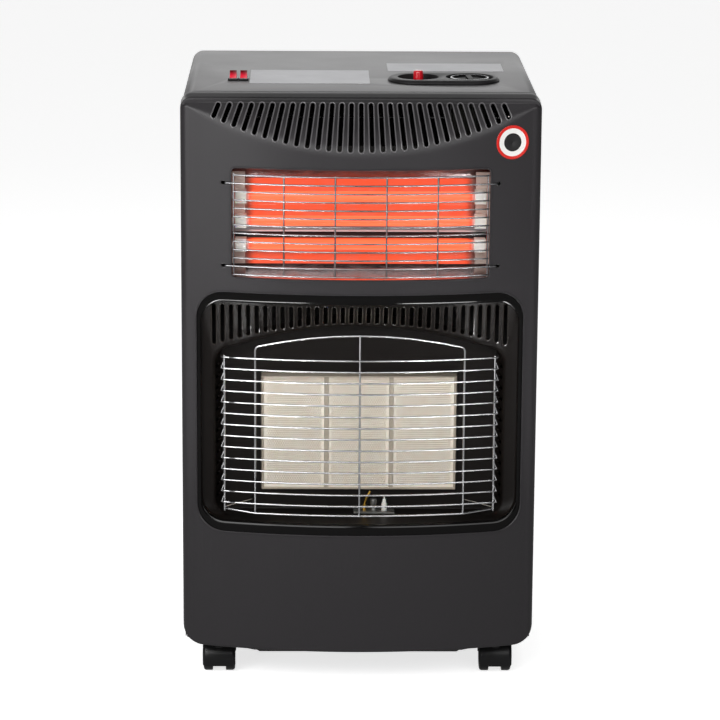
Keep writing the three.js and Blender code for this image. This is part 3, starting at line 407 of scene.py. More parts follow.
def bevel(obj, width):
    mod = obj.modifiers.new("bevel", "BEVEL")
    mod.width = width / 1000
    mod.segments = 2
    mod.limit_method = "ANGLE"
    mod.angle_limit = math.radians(35)
    mod.harden_normals = True


def dress(names, material, edge):
    """A better material and softened edges for CAD nodes."""
    for name in names:
        obj = nodes[name]
        obj.data.materials.clear()
        obj.data.materials.append(material)
        shade_smooth(obj.data)
        weld = obj.modifiers.new("weld", "WELD")
        weld.merge_threshold = 1e-6
        flat = obj.modifiers.new("flat", "DECIMATE")
        flat.decimate_type = "DISSOLVE"
        flat.angle_limit = math.radians(0.5)
        bevel(obj, edge)


def grid_faces(rows, columns, wrap=False):
    """Quads over rows of points; wrap joins each row's last point to its first."""
    faces = []
    for r in range(rows - 1):
        for c in range(columns if wrap else columns - 1):
            d = (c + 1) % columns
            faces.append((r * columns + c, r * columns + d, (r + 1) * columns + d, (r + 1) * columns + c))
    return faces


def tube(points, radius, sides=10, closed=False):
    """A round wire along points, with domed ends unless it closes on itself."""
    path = [Vector(p) for p in points]
    count = len(path)
    normal = None
    frames = []
    for i, centre in enumerate(path):
        before = path[i - 1] if i or closed else path[0]
        after = path[(i + 1) % count] if i < count - 1 or closed else path[-1]
        along = (after - before).normalized()
        if normal is None:
            normal = Vector((0, 0, 1)) if abs(along.z) < 0.8 else Vector((0, 1, 0))
        normal = (normal - along * normal.dot(along)).normalized()
        frames.append((centre, normal.copy(), along.cross(normal), along))

    def ring(centre, normal, side, r):
        return [centre + (normal * math.cos(a) + side * math.sin(a)) * r
                for a in (2 * math.pi * k / sides for k in range(sides))]

    rows = [ring(*frame[:3], radius) for frame in frames]
    if closed:
        faces = grid_faces(count, sides, True)
        last = (count - 1) * sides
        shift = min(range(sides), key=lambda k: (rows[-1][0] - rows[0][k]).length)
        for k in range(sides):
            faces.append((last + k, last + (k + 1) % sides, (k + 1 + shift) % sides, (k + shift) % sides))
        return sum(rows, []), faces
    for at, sign in ((0, -1), (-1, 1)):
        centre, normal, side, along = frames[at]
        dome = [ring(centre + along * sign * radius * 0.6, normal, side, radius * 0.8)]
        rows = dome + rows if sign < 0 else rows + dome
    verts = sum(rows, [])
    faces = grid_faces(len(rows), sides, True)
    return verts, faces + [tuple(range(sides)), tuple(range(len(verts) - sides, len(verts)))]


def fillet(points, radii, steps=4):
    """A polyline whose inner corners are rounded, always with the same number of points."""
    path = [Vector(p) for p in points]
    out = [path[0]]
    for i in range(1, len(path) - 1):
        into, leave = path[i - 1] - path[i], path[i + 1] - path[i]
        reach = 0.0
        if into.length > 1e-4 and leave.length > 1e-4 and radii[i - 1] > 0:
            half = into.angle(leave) / 2
            reach = min(radii[i - 1] / max(math.tan(half), 0.05), into.length * 0.48, leave.length * 0.48)
        start, end = path[i] + into.normalized() * reach, path[i] + leave.normalized() * reach
        for t in (k / steps for k in range(steps + 1)):
            out.append(start * (1 - t) ** 2 + path[i] * 2 * t * (1 - t) + end * t ** 2)
    return out + [path[-1]]


def lathe(profile, centre, axis="Z", segments=48, sign=1):
    """A closed profile of (radius, height) pairs turned about an axis through centre."""
    verts = []
    for a in (2 * math.pi * k / segments for k in range(segments)):
        for r, h in profile:
            u, v = r * math.cos(a), r * math.sin(a)
            offset = {"Z": (u, v, h * sign), "X": (h * sign, u, v), "Y": (u, h * sign, v)}[axis]
            verts.append(Vector(centre) + Vector(offset))
    faces = grid_faces(segments + 1, len(profile), True)
    return verts, [tuple(i % len(verts) for i in face) for face in faces]


def prism(outline, low, high, axis="Y"):
    """An outline of (u, v) pairs spread along one axis: (x, z) for Y, (x, y) for Z, (y, z) for X."""
    def at(u, v, w):
        return {"Y": (u, w, v), "Z": (u, v, w), "X": (w, u, v)}[axis]
    n = len(outline)
    verts = [at(u, v, low) for u, v in outline] + [at(u, v, high) for u, v in outline]
    faces = [tuple(range(n)), tuple(range(2 * n - 1, n - 1, -1))]
    faces += [(i, (i + 1) % n, n + (i + 1) % n, n + i) for i in range(n)]
    return verts, faces


def quarter(cu, cv, r, start, steps):
    """Points of a quarter circle from a start angle in degrees."""
    angles = [math.radians(start + 90 * k / steps) for k in range(steps + 1)]
    return [(cu + r * math.cos(a), cv + r * math.sin(a)) for a in angles]


def rounded_rect(u0, u1, v0, v1, r, steps=6):
    corners = ((u1 - r, v0 + r, -90), (u1 - r, v1 - r, 0), (u0 + r, v1 - r, 90), (u0 + r, v0 + r, 180))
    return [point for cu, cv, start in corners for point in quarter(cu, cv, r, start, steps)]


def slot_outline(u0, v0, u1, v1, width, steps=8):
    """A slot with round ends whose end centres are the two points."""
    angle = math.atan2(v1 - v0, u1 - u0)
    out = []
    for cu, cv, start in ((u1, v1, angle - math.pi / 2), (u0, v0, angle + math.pi / 2)):
        for k in range(steps + 1):
            a = start + math.pi * k / steps
            out.append((cu + width / 2 * math.cos(a), cv + width / 2 * math.sin(a)))
    return out


def subdivide_outline(outline, longest):
    """Points added so that no side of a closed outline is longer than longest."""
    out = []
    for i, (u, v) in enumerate(outline):
        s, t = outline[(i + 1) % len(outline)]
        parts = max(1, math.ceil(math.hypot(s - u, t - v) / longest))
        out.extend((u + (s - u) * k / parts, v + (t - v) * k / parts) for k in range(parts))
    return out


class Skin:
    """The shading and the surface of a mesh as it was before holes were cut in it."""

    def __init__(self, mesh):
        self.points = [v.co.copy() for v in mesh.vertices]
        self.polygons = [tuple(p.vertices) for p in mesh.polygons]
        self.tree = BVHTree.FromPolygons(self.points, self.polygons)
        self.corners = [[mesh.corner_normals[i].vector.copy() for i in p.loop_indices] for p in mesh.polygons]
        self.faces = [p.normal.copy() for p in mesh.polygons]

    def normal(self, point, face_normal):
        """The old shading normal at a point, or None where the face is a new cut."""
        spot, _, index, distance = self.tree.find_nearest(point)
        if spot is None or distance > 2e-5 or self.faces[index].dot(face_normal) < 0.6:
            return None
        weights = poly_3d_calc([self.points[i] for i in self.polygons[index]], spot)
        total = sum((n * w for n, w in zip(self.corners[index], weights)), Vector())
        return total.normalized()

    def front(self, x, z):
        """The first point of the skin met from the front at x, z, in mm."""
        hit = self.tree.ray_cast(place((x, AHEAD, z)), Vector((0, 1, 0)))
        return hit[0] * 1000 - Vector((0, SHIFT, 0)) if hit[0] else None


def bake(obj):
    """Applies the object's modifiers and gives the new mesh."""
    bpy.context.view_layer.update()
    mesh = bpy.data.meshes.new_from_object(obj.evaluated_get(bpy.context.evaluated_depsgraph_get()))
    obj.modifiers.clear()
    obj.data = mesh
    return mesh


def carve(obj, cutters):
    """Cuts closed cutters out of the object and keeps the shading of what is left. Returns the old skin."""
    skin = Skin(obj.data)
    tool = raw_object("tool", cutters)
    mod = obj.modifiers.new("cut", "BOOLEAN")
    mod.object = tool
    mod.operation = "DIFFERENCE"
    mod.solver = "EXACT"
    mesh = bake(obj)
    bpy.data.objects.remove(tool)
    shade_smooth(mesh)
    normals = [Vector((0, 0, 1))] * len(mesh.loops)
    for polygon in mesh.polygons:
        for loop in polygon.loop_indices:
            point = mesh.vertices[mesh.loops[loop].vertex_index].co
            inner = point.lerp(polygon.center, 0.02)
            normals[loop] = skin.normal(inner, polygon.normal) or polygon.normal.copy()
    mesh.normals_split_custom_set(normals)
    return skin


def drop(x, half, r):
    """How far a rounded corner falls back at x."""
    return r - math.sqrt(max(0.0, r * r - (abs(x) - half + r) ** 2)) if abs(x) > half - r else 0.0


# ---- bowed front
def front_section(x, inset):
    """The front panel's side section at x, from its lower rear edge over the face and the scoop."""
    half, edge = HALF - inset, EDGE_R - inset
    face = bow(min(abs(x), half - edge)) + inset + drop(x, half, edge)
    low = FRONT_BOTTOM + inset + drop(x, half, BOTTOM_CORNER - inset)
    top = FRONT_TOP - inset - drop(x, half, TOP_CORNER - inset)
    wall = max(face, inset)
    depth = wall - face
    amount = min(1.0, depth / SCOOP_FADE)
    scoop_top = min(SCOOP_TOP - 0.31 * inset, top - CROWN_HEIGHT)
    crease = scoop_top - SCOOP_SLOPE * depth + CREASE_LIFT * amount
    controls = [(FRONT_BACK, low, 0), (face, low, 0), (face, crease, 0),
                (wall, scoop_top, 0), (wall, top - CROWN_SLOPE, 0), (FRONT_BACK, top, 0)]
    radii = [3.5 - inset, CREASE_R * amount, 2 * amount, 4.0 - inset]
    return [Vector((x, p.x, p.y)) for p in fillet(controls, radii, 5)]


def front_shell():
    """The bent sheet as one closed solid: an outer and an inner skin joined at their edges."""
    offsets = [0, 0.12, 0.5, 1.2, 2.2, 3.5, 5.2, 7.4, 10, 12, 14, 17, 20, 24, 29, 35]
    right = [7.0 * i for i in range(25)] + [HALF - offset for offset in reversed(offsets)]
    stations = [-x for x in reversed(right[1:])] + right
    outer = [front_section(x, 0) for x in stations]
    inner = [front_section(x * (HALF - SHEET) / HALF, SHEET) for x in stations]
    n, rows = len(outer[0]), len(stations)
    base = n * rows
    faces = grid_faces(rows, n)
    faces += [tuple(base + i for i in face) for face in faces]
    for start in (0, base):
        faces.append(tuple(start + i for i in range(n)))
        faces.append(tuple(start + (rows - 1) * n + i for i in range(n)))
    edges = [(r * n + k, (r + 1) * n + k) for r in range(rows - 1) for k in (0, n - 1)]
    edges += [(r * n, r * n + n - 1) for r in (0, rows - 1)]
    faces += [(a, b, base + b, base + a) for a, b in edges]
    return sum(outer + inner, []), faces


def vent_outline(i, wider=0.0):
    """One vent slot in the front view."""
    turn = (i - (VENTS - 1) / 2) * VENT_PITCH / FAN_RADIUS
    low = FAN_RADIUS - VENT_WIDTH / 2 + VENT_EXTRA
    high = (FAN_CENTRE - VENT_TOP) / math.cos(turn) + VENT_WIDTH / 2
    (x0, z0), (x1, z1) = [(math.sin(turn) * r, FAN_CENTRE - math.cos(turn) * r) for r in (low, high)]
    return slot_outline(x0, z0, x1, z1, VENT_WIDTH + wider)


def row_z(i):
    return UPPER_TOP - i * UPPER_PITCH


def rolled_rim(skin, outline, radius, sink, longest, sides=8):
    """A rolled edge along an outline of the front view, laid on the skin and sunk into it."""
    loop = []
    for x, z in subdivide_outline(outline, longest):
        spot = skin.front(x, z)
        if spot:
            loop.append(spot + Vector((0, sink, 0)))
    return tube(loop, radius, sides, closed=True)


def build_front():
    holes = [rounded_rect(*WINDOW, 6), rounded_rect(*FIRE_HOLE, 12)]
    hooks = [rounded_rect(x - 3.0, x + 3.0, row_z(row) - 2.6, row_z(row) + 2.6, 2.6, 4)
             for x in (-HOOK_HOLE_X, HOOK_HOLE_X) for row in HOOK_ROWS]
    half = HALF - RIM_RETURN
    xs = [-half + 2 * half * i / 24 for i in range(25)]
    underside = [(x, bow(x) + RIM_RETURN) for x in xs] + [(half, FRONT_BACK + 1), (-half, FRONT_BACK + 1)]
    front = raw_object("front_skin", [front_shell()], 40)
    cutters = [prism(vent_outline(i), -60, 8) for i in range(VENTS)]
    cutters += [prism(hole, -60, 20) for hole in holes + hooks]
    cutters.append(prism(underside, FRONT_BOTTOM - 2, FRONT_BOTTOM + SHEET + 2, "Z"))
    skin = carve(front, cutters)
    front.data.materials.append(FRONT_PAINT)
    settle(front, "cabinet", ("front_panel",))
    rims = [rolled_rim(skin, vent_outline(i, 1.7), 0.9, 0.35, 8) for i in range(VENTS)]
    piece("vent_rims", rims, HIGHLIGHT_EDGE_PAINT)
    rims = [rolled_rim(skin, rounded_rect(x0 - 1, x1 + 1, z0 - 1, z1 + 1, r + 1, 10), 1.4, 0.8, 8, 10)
            for x0, x1, z0, z1, r in (WINDOW, FIRE_HOLE)]
    piece("opening_rims", rims, FRONT_PAINT)
    piece("hook_rims", [rolled_rim(skin, h, 0.5, 0.3, 2) for h in hooks], BLACK)


# ---- fire surround
def surround_ring(half, bottom, shoulder, crown, corner, y_at):
    """A ring of the surround from the left end of its bottom edge, over the right side and the arch."""
    span, low, high = half - corner, bottom + corner, shoulder - corner
    rise = shoulder - bottom - 2 * corner
    points = [(-span + 2 * span * i / 28, bottom) for i in range(1, 28)]
    points += quarter(span, low, corner, -90, 8) + [(half, low + rise * i / 12) for i in range(1, 12)]
    points += quarter(span, high, corner, 0, 8)
    for x in (span - 2 * span * i / 40 for i in range(1, 40)):
        points.append((x, shoulder + (crown - shoulder) * (1 - (x / span) ** 2)))
    points += quarter(-span, high, corner, 90, 8) + [(-half, high - rise * i / 12) for i in range(1, 12)]
    points += quarter(-span, low, corner, 180, 8)
    return [Vector((x, y_at(x), z)) for x, z in points]


def surround_base():
    """The enamelled pressing as one skin: flange, rolled bead, slotted fascia, arch and rear plate."""
    flange = surround_ring(200.5, 183, 497, 497, 39, lambda x: bow(x) + 1.5)
    lip = surround_ring(190, 203.8, 476, 476, 30, lambda x: bow(x) + 1.5)
    edge = surround_ring(187, 206.8, 473, 473, 27, lambda x: bow(x) + 2.65)
    inner = surround_ring(187, 206.8, 473, 473, 27, lambda x: bow(x) + 12.7)
    arch = surround_ring(MOUTH_HALF, 207, MOUTH_SHOULDER, MOUTH_CROWN, 22, lambda x: 9.0)
    rear = surround_ring(164, 208, 420, 448, 12, lambda x: BURNER_BACK)
    centre = surround_ring(120, 225, 385, 385, 8, lambda x: BURNER_BACK)
    rings = zip(flange, lip, edge, inner, arch, rear, centre)
    spokes = [fillet(spoke, [1.5, 3.0, 2.5, 7.0, 3.0], 5) for spoke in rings]
    n = len(spokes[0])
    faces = grid_faces(len(spokes), n)
    last = (len(spokes) - 1) * n
    faces += [(last + k, last + k + 1, k + 1, k) for k in range(n - 1)]
    faces.append(tuple(i * n + n - 1 for i in range(len(spokes))))
    return sum(spokes, []), faces


def surround_slots(wider=0.0):
    """The slots of the fascia, whose lower ends follow the arch."""
    out = []
    for x in ((i - (SLOTS - 1) / 2) * SLOT_PITCH for i in range(SLOTS)):
        low = MOUTH_SHOULDER + (MOUTH_CROWN - MOUTH_SHOULDER) * (1 - (x / MOUTH_HALF) ** 2) + 8
        out.append(slot_outline(x, low, x, SLOT_TOP, SLOT_WIDTH + wider))
    return out


def build_surround():
    obj = raw_object("surround_skin", [surround_base()], 60)
    if sum(p.normal.y * p.area for p in obj.data.polygons) > 0:
        obj.data.flip_normals()
    solid = obj.modifiers.new("solid", "SOLIDIFY")
    solid.thickness = SHEET / 1000
    solid.offset = -1
    solid.use_even_offset = True
    shade_smooth(bake(obj), 50)
    louvres = [(side * 167, 228 + i * 13.2) for i in range(13) for side in (-1, 1)]
    half = PLAQUE_PITCH * 1.5 + 1
    cutters = [prism(s, -60, 14) for s in surround_slots()]
    cutters += [prism(rounded_rect(14, 29, z, z + 4.5, 2, 3), x - 8, x + 8, "X") for x, z in louvres]
    cutters.append(prism(rounded_rect(-half, half, 233, 377, 1.5, 3), 20, 60))
    cutters.append(prism(rounded_rect(2, 37, 18, 31, 2, 3), 200, 212, "Z"))
    cutters += [prism(rounded_rect(x - 2.2, x + 2.2, 219.8, 224.2, 2.2, 4), 20, 60) for x in (-127, 127)]
    skin = carve(obj, cutters)
    obj.data.materials.append(ENAMEL)
    settle(obj, "cabinet", ("fire_surround",))
    rims = [rolled_rim(skin, rim, 0.85, 0.3, 8) for rim in surround_slots(1.2)]
    piece("surround_slot_rims", rims, HIGHLIGHT_ENAMEL_EDGE)
    hoods = []
    for x, z in louvres:
        side = 1 if x > 0 else -1
        arc = [(side * (166.5 - 2.6 * math.sin(math.pi * k / 10)), 13.5 + 16 * k / 10, z + 5.4)
               for k in range(11)]
        hoods.append(tube(arc, 1.0, 8))
    piece("louvre_lips", hoods, ENAMEL)


# ---- wire guards
def on_bow(x, z, offset=0.0):
    return (x, bow(x) + offset, z)


def run(half, z, offset=0.0):
    """Points of a level wire that follows the bow, about 10 mm apart."""
    count = round(2 * half / 10.0)
    return [on_bow(-half + 2 * half * i / count, z, offset) for i in range(count + 1)]


def upright(x, low, high, offset, radius):
    return tube([on_bow(x, low, offset), on_bow(x, high, offset)], radius)


def build_upper_guard():
    offset = -UPPER_R - 0.3
    wire = UPPER_R * 0.88
    parts = []
    for i in range(UPPER_ROWS):
        z = row_z(i)
        if i in HOOK_ROWS:
            ends = [(side * HOOK_X, bow(HOOK_X) + 8, z) for side in (-1, 1)]
            path = [ends[0], *run(HOOK_X, z, offset), ends[1]]
            parts.append(tube(fillet(path, [3.0] + [0.0] * (len(path) - 4) + [3.0], 4), wire))
        else:
            parts.append(tube(run(148.4, z, offset), wire))
    for x in UPPER_BARS:
        parts.append(upright(x, row_z(UPPER_ROWS - 1) - 1, row_z(0) + 1, offset + UPPER_R * 1.35, UPPER_R))
    piece("upper_cage", parts, CHROME, replaces=("upper_guard",), angle=60)


def build_lower_guard():
    parts = []
    wire, thick = LOWER_R * 0.9, LOWER_R * 1.06
    back = LOWER_R * 1.35
    tail_y = bow(LOWER_SPAN) + 20
    for i in range(LOWER_ROWS):
        z = LOWER_BOTTOM + i * LOWER_PITCH
        path = [(-LOWER_SPAN + 1, tail_y, z), *run(LOWER_SPAN, z), (LOWER_SPAN - 1, tail_y, z)]
        radii = [5.0] + [0.0] * (len(path) - 4) + [5.0]
        parts.append(tube(fillet(path, radii, 4), wire))
    arch = [on_bow(-ARCH_X, ARCH_LOW, back), on_bow(-ARCH_X, ARCH_SHOULDER, back)]
    arch += [on_bow(x, ARCH_CROWN - 16 * (x / ARCH_X) ** 2, back) for x in ARCH_STEPS]
    arch += [on_bow(ARCH_X, ARCH_SHOULDER, back), on_bow(ARCH_X, ARCH_LOW, back)]
    parts.append(tube(fillet(arch, [6] + [20] * 7 + [6], 4), thick))
    legs = [[(side * 127, 40, 222), (side * 127, 27, 222), (side * LOWER_SPAN, bow(LOWER_SPAN) + 6, 221.5)]
            for side in (-1, 1)]
    sill = [on_bow(x, ARCH_LOW) for x in (-ARCH_X, *ARCH_STEPS, ARCH_X)]
    path = [*legs[0], *sill, *reversed(legs[1])]
    parts.append(tube(fillet(path, [4, 6] + [12] * 9 + [6, 4], 4), LOWER_R))
    top = LOWER_BOTTOM + (LOWER_ROWS - 1) * LOWER_PITCH
    sides = [(side * (LOWER_SPAN - 4), ARCH_LOW + 1.5, top + 1) for side in (-1, 1)]
    for i in range(LOWER_ROWS - 1):
        z = LOWER_BOTTOM + i * LOWER_PITCH
        for side in (-1, 1):
            loop = [on_bow(side * (LOWER_SPAN - 0.4), z, 0.6), on_bow(side * (LOWER_SPAN - 0.8), z + 2, 1),
                    on_bow(side * (LOWER_SPAN - 3.4), z + 8, back)]
            parts.append(tube(loop, 0.8, 8))
    for x, low, high in [(0, ARCH_LOW - 1, ARCH_CROWN), *sides]:
        parts.append(upright(x, low, high, back, thick))
    piece("lower_cage", parts, CHROME_LOW, replaces=("lower_guard",), angle=60)


# ---- upper heater
def dish(tube_z, z0, z1):
    """Side section of the reflector's back behind one tube."""
    rises = [z0 + (z1 - z0) * i / 14 - tube_z for i in range(15)]
    return [(33 + 0.0945 * rise - 0.0085 * rise ** 2, rise + tube_z) for rise in rises]


def build_reflector():
    """Polished trough with dished backs, its end walls, and the folded rib with a black sheet below it as
    painted shade.
    """
    half, low, mid, top = 151.8, TUBE_ZS[2], TUBE_ZS[1], TUBE_ZS[0]
    front = bow(0) + 24

    def sheet(section, name, material, thickness=0.9):
        loop = section + [(y + thickness, z) for y, z in reversed(section)]
        n = len(loop)
        verts = [(-half + 2 * half * i / 12, y, z) for i in range(13) for y, z in loop]
        faces = grid_faces(13, n, True)
        faces += [tuple(range(n)), tuple(range(len(verts) - n, len(verts)))]
        return piece(name, [(verts, faces)], material, angle=20)

    lower = [(front, 494), (21, 512), *dish(low, 524, 540.5), (16.2, 543.8)]
    upper = [(16.2, 561), *dish(mid, 562, 580.5), *dish(top, 580.6, 612), (21, 624), (front, 640)]
    first = sheet(lower, "reflector_lower", REFLECTOR)
    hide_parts("upper_reflector")
    sheet(upper, "reflector_upper", REFLECTOR)
    rib = [(15.0, 552.2), (14.2, 551.6), (15.0, 553.4), (15.0, 560.4), (15.8, 561.2), (20, 561.5)]
    sheet(rib, "reflector_rib", ZINC, 0.7)
    # Painted shade: a black sheet stands for the shade under the rib.
    sheet([(22, 543.5), (22.5, 560)], "reflector_shade_sheet", CASTER, 0.6)
    walls = []
    for side in (-1, 1):
        outline = [(front, 494), (21, 512), (33, 524), (33, 612), (21, 624), (front, 640)]
        walls.append(prism(outline, side * half, side * (half + 1), "X"))
    piece("reflector_ends", walls, REFLECTOR, angle=20)


def build_tubes():
    for i, z in enumerate(TUBE_ZS):
        outer, bore = TUBE_R, TUBE_R - 1.2
        profile = [(bore, -TUBE_HALF), (outer - 0.4, -TUBE_HALF), (outer, -TUBE_HALF + 0.5),
                   (outer, TUBE_HALF - 0.5), (outer - 0.4, TUBE_HALF), (bore, TUBE_HALF)]
        piece(f"glow_tube_{i + 1}", [lathe(profile, (0, TUBE_Y, z), "X", 40)], QUARTZ,
              replaces=(f"quartz_tube_{i + 1}",))


# ---- gas burner
def plaque_mesh(x):
    """A ceramic plaque: a plain border round staggered rows of fine blind holes."""
    half, border, pitch, row_pitch, hole, depth, columns = PLAQUE_W / 2, 2.6, 2.784, 2.42, 0.8, 3.0, 24
    y, back, z0, z1 = PLAQUE_FRONT, PLAQUE_FRONT + PLAQUE_DEPTH, PLAQUE_BOTTOM, PLAQUE_BOTTOM + PLAQUE_H
    rows = int((PLAQUE_H - 2 * border) / row_pitch)
    low = (z0 + z1 - rows * row_pitch) / 2
    high = low + rows * row_pitch
    left, right = x - columns * pitch / 2, x + columns * pitch / 2
    verts, faces = [], []

    def rect(u0, u1, v0, v1, w=y):
        return [(u0, w, v0), (u1, w, v0), (u1, w, v1), (u0, w, v1)]

    def quad(corners):
        faces.append(tuple(range(len(verts), len(verts) + 4)))
        verts.extend(corners)

    quad(rect(x - half, x + half, z0, low))
    quad(rect(x - half, x + half, high, z1))
    quad(rect(x - half, left, low, high))
    quad(rect(right, x + half, low, high))
    for row in range(rows):
        b0, b1 = low + row * row_pitch, low + (row + 1) * row_pitch
        mid = (b0 + b1) / 2
        shift = pitch / 2 if row % 2 else 0.0
        if shift:
            quad(rect(left, left + shift, b0, b1))
            quad(rect(right - shift, right, b0, b1))
        for column in range(columns - row % 2):
            a0 = left + shift + column * pitch
            centre = a0 + pitch / 2
            start = len(verts)
            verts += rect(a0, a0 + pitch, b0, b1)
            for level in (y, y + depth):
                verts += rect(centre - hole, centre + hole, mid - hole, mid + hole, level)
            for k, m in ((0, 1), (1, 2), (2, 3), (3, 0)):
                faces.append((start + k, start + m, start + 4 + m, start + 4 + k))
                faces.append((start + 4 + k, start + 4 + m, start + 8 + m, start + 8 + k))
            faces.append((start + 8, start + 9, start + 10, start + 11))
    face, rear = rect(x - half, x + half, z0, z1), rect(x - half, x + half, z0, z1, back)
    for k, m in ((0, 1), (1, 2), (2, 3), (3, 0)):
        quad([face[k], rear[k], rear[m], face[m]])
    quad([rear[0], rear[3], rear[2], rear[1]])
    return verts, faces


def build_plaques():
    for i in range(3):
        piece(f"perforated_plaque_{i + 1}", [plaque_mesh((i - 1) * PLAQUE_PITCH)], PLAQUE,
              replaces=(f"ceramic_plaque_{i + 1}",), angle=25)


# ---- controls
def build_controls():
    r, low, high = 23.2, 704.6, 719.4
    height = high - low
    dial = lathe([(4.4, 0), (r - 1.6, 0), (r - 0.6, 0.5), (r, 1.6), (r, height - 1.4),
                  (r - 0.5, height - 0.5), (r - 1.2, height), (r - 2.2, height), (r - 2.8, height - 0.6),
                  (r - 3.4, height - 2.6), (4.4, height - 2.6)], (KNOB_X, WELL_Y, low), "Z", 96)
    cap = lathe([(0.01, height - 3.1), (4.4, height - 3.1), (4.4, height - 2.6), (0.01, height - 2.6)],
                (KNOB_X, WELL_Y, low), "Z", 32)
    grip = prism([(-20, height - 3.2), (20, height - 3.2), (19.4, height - 1.6), (17.2, height - 0.2),
                  (16, height), (-16, height), (-17.2, height - 0.2), (-19.4, height - 1.6)], -3, 3, "X")
    turned_grip = [(Matrix.Rotation(math.radians(4), 3, "Z") @ Vector(p)) + Vector((KNOB_X, WELL_Y, low))
                   for p in grip[0]]
    knob = piece("knob_dial", [dial, cap, (turned_grip, grip[1])], DIAL, "knob", ("control_knob",))
    bevel(knob, 0.4)
    ring = lathe([(r - 2.5, height - 0.7), (r - 2.0, height - 0.25), (r - 0.8, height - 0.3),
                  (r - 0.3, height - 0.8), (r - 0.8, height - 1.2), (r - 2.0, height - 1.2)],
                 (KNOB_X, WELL_Y, low + 0.28), "Z", 96)
    piece("knob_ring", [ring], EDGE_CHROME, "knob", angle=50)
    b, bottom, top = 6.0, 688.0, 727.4
    rise = top - bottom
    button = lathe([(0.01, 0), (b, 0), (b, rise - 2.6), (b - 0.25, rise - 1.4), (b - 1.0, rise - 0.5),
                    (b - 2.2, rise - 0.1), (b - 3.2, rise), (0.01, rise)], (BUTTON_X, WELL_Y, bottom))
    piece("igniter_cap", [button], RED, "igniter_button", ("piezo_button",), 45)


# ---- casters
def build_casters():
    for place_name, (x, y) in CASTERS.items():
        axle_y, axle_z = y + 12, 20.0
        count, web = 28, 7.4
        angles = [-0.15 + (math.pi + 0.6) * k / count for k in range(count + 1)]
        outer = [(15.4, 22.5), (17.6, 21.9), (19.2, 20.7), (20.0, 19.2), (19.5, 18.9)]
        inner = [(18.5, 20.0), (16.2, 20.9)]
        section = outer + inner
        section = [(-u, r) for u, r in reversed(outer)] + section + [(-u, r) for u, r in reversed(inner)]
        arc = [Vector((0, math.cos(a), math.sin(a))) for a in angles]
        hub = Vector((x, axle_y, axle_z))
        verts = [tuple(hub + way * r + Vector((u, 0, 0))) for way in arc for u, r in section]
        ends = [tuple(range(len(section))), tuple(range(count * len(section), (count + 1) * len(section)))]
        cover = (verts, grid_faces(count + 1, len(section), True) + ends)
        wall = [(axle_y + way.y * 21.4, axle_z + way.z * 21.4) for way in arc]
        core = prism(wall + [(axle_y - 8, 7), (axle_y + 8, 7)], x - web, x + web, "X")
        boss = lathe([(4.3, 33), (7.2, 33), (7.2, 44.6), (6.7, 45.1), (4.3, 45.1)], (x, y, 0), "Z", 32)
        axle = lathe([(0.01, -19.4), (2.6, -19.4), (3, -19), (3, 19), (2.6, 19.4), (0.01, 19.4)],
                     (x, axle_y, axle_z), "X", 24)
        hood = piece(f"hood_{place_name}", [cover, core, boss, axle], CASTER, f"swivel_{place_name}",
                     (f"caster_hood_{place_name}",), 40)
        bevel(hood, 0.5)
        for tag, side in (("a", -1), ("b", 1)):
            width, r, middle = 11.4, 20.0, (x + side * 8, axle_y, axle_z)
            rim = lathe([(3.3, 0), (16.4, 0), (16.4, 1.2), (17.2, width - 1.2), (16.2, width - 0.5),
                         (14.6, width - 1.8), (6.2, width - 2.8), (5.4, width - 1.2), (3.3, width - 1.0)],
                        middle, "X", 56, side)
            tyre = lathe([(16.2, 0.0), (r - 0.6, 0.0), (r, 0.7), (r, width - 3.2), (r - 0.9, width - 1.2),
                          (r - 2.8, width - 0.3), (16.8, width - 0.9)], middle, "X", 56, side)
            wheel = piece(f"wheel_{place_name}_{tag}", [rim, tyre], CASTER, f"wheel_{place_name}_{tag}",
                          (f"caster_wheel_{place_name}_{tag}",), 30)
            wheel.data.materials.append(TREAD)


# ---- plates, badge and fasteners
LABEL = shader("label_film", "c2c2c5", 0.55, Specular_IOR_Level=0.3)
BADGE_RED = shader("badge_red", "d8241c", 0.35)
BADGE_WHITE = shader("badge_white", "f1efec", 0.4)
BADGE_DARK = shader("badge_dark", "1d1c1d", 0.4)


def label(name, x0, x1, y0, y1):
    """A thin bare plate stuck on the deck."""
    film = prism(rounded_rect(x0, x1, y0, y1, 1.2), DECK - 0.05, DECK + 0.3, "Z")
    piece(name, [film], LABEL)


def build_plates():
    vary(LABEL, "Base Color", noise(LABEL, 30, 4.0), "bdbdc0", "c9c9cc")
    for mat in (BADGE_RED, BADGE_WHITE, BADGE_DARK):
        bump(mat, noise(mat, 800, 2.0), 0.05, 0.00003)
    label("switch_label", -131, 11.5, 92, 200)
    label("control_label", 35, 176, 197, 262)
    centre = Vector((BADGE_X, bow(BADGE_X), 662.6))
    turn = Matrix.Rotation(math.asin(BADGE_X / BOW_R), 3, "Z")
    for name, inner, outer, thick, material in (("badge_disc", 0.01, 19.8, 0.5, BADGE_WHITE),
                                                ("badge_ring", 16.4, 19.8, 0.8, BADGE_RED),
                                                ("badge_spot", 0.01, 10.6, 0.8, BADGE_DARK)):
        verts, faces = lathe([(inner, -0.2), (outer, -0.2), (outer, thick - 0.15), (outer - 0.2, thick),
                              (max(inner + 0.2, 0.2), thick), (inner, thick - 0.1)], (0, 0, 0), "Y", 72, -1)
        piece(name, [([turn @ p + centre for p in verts], faces)], material)


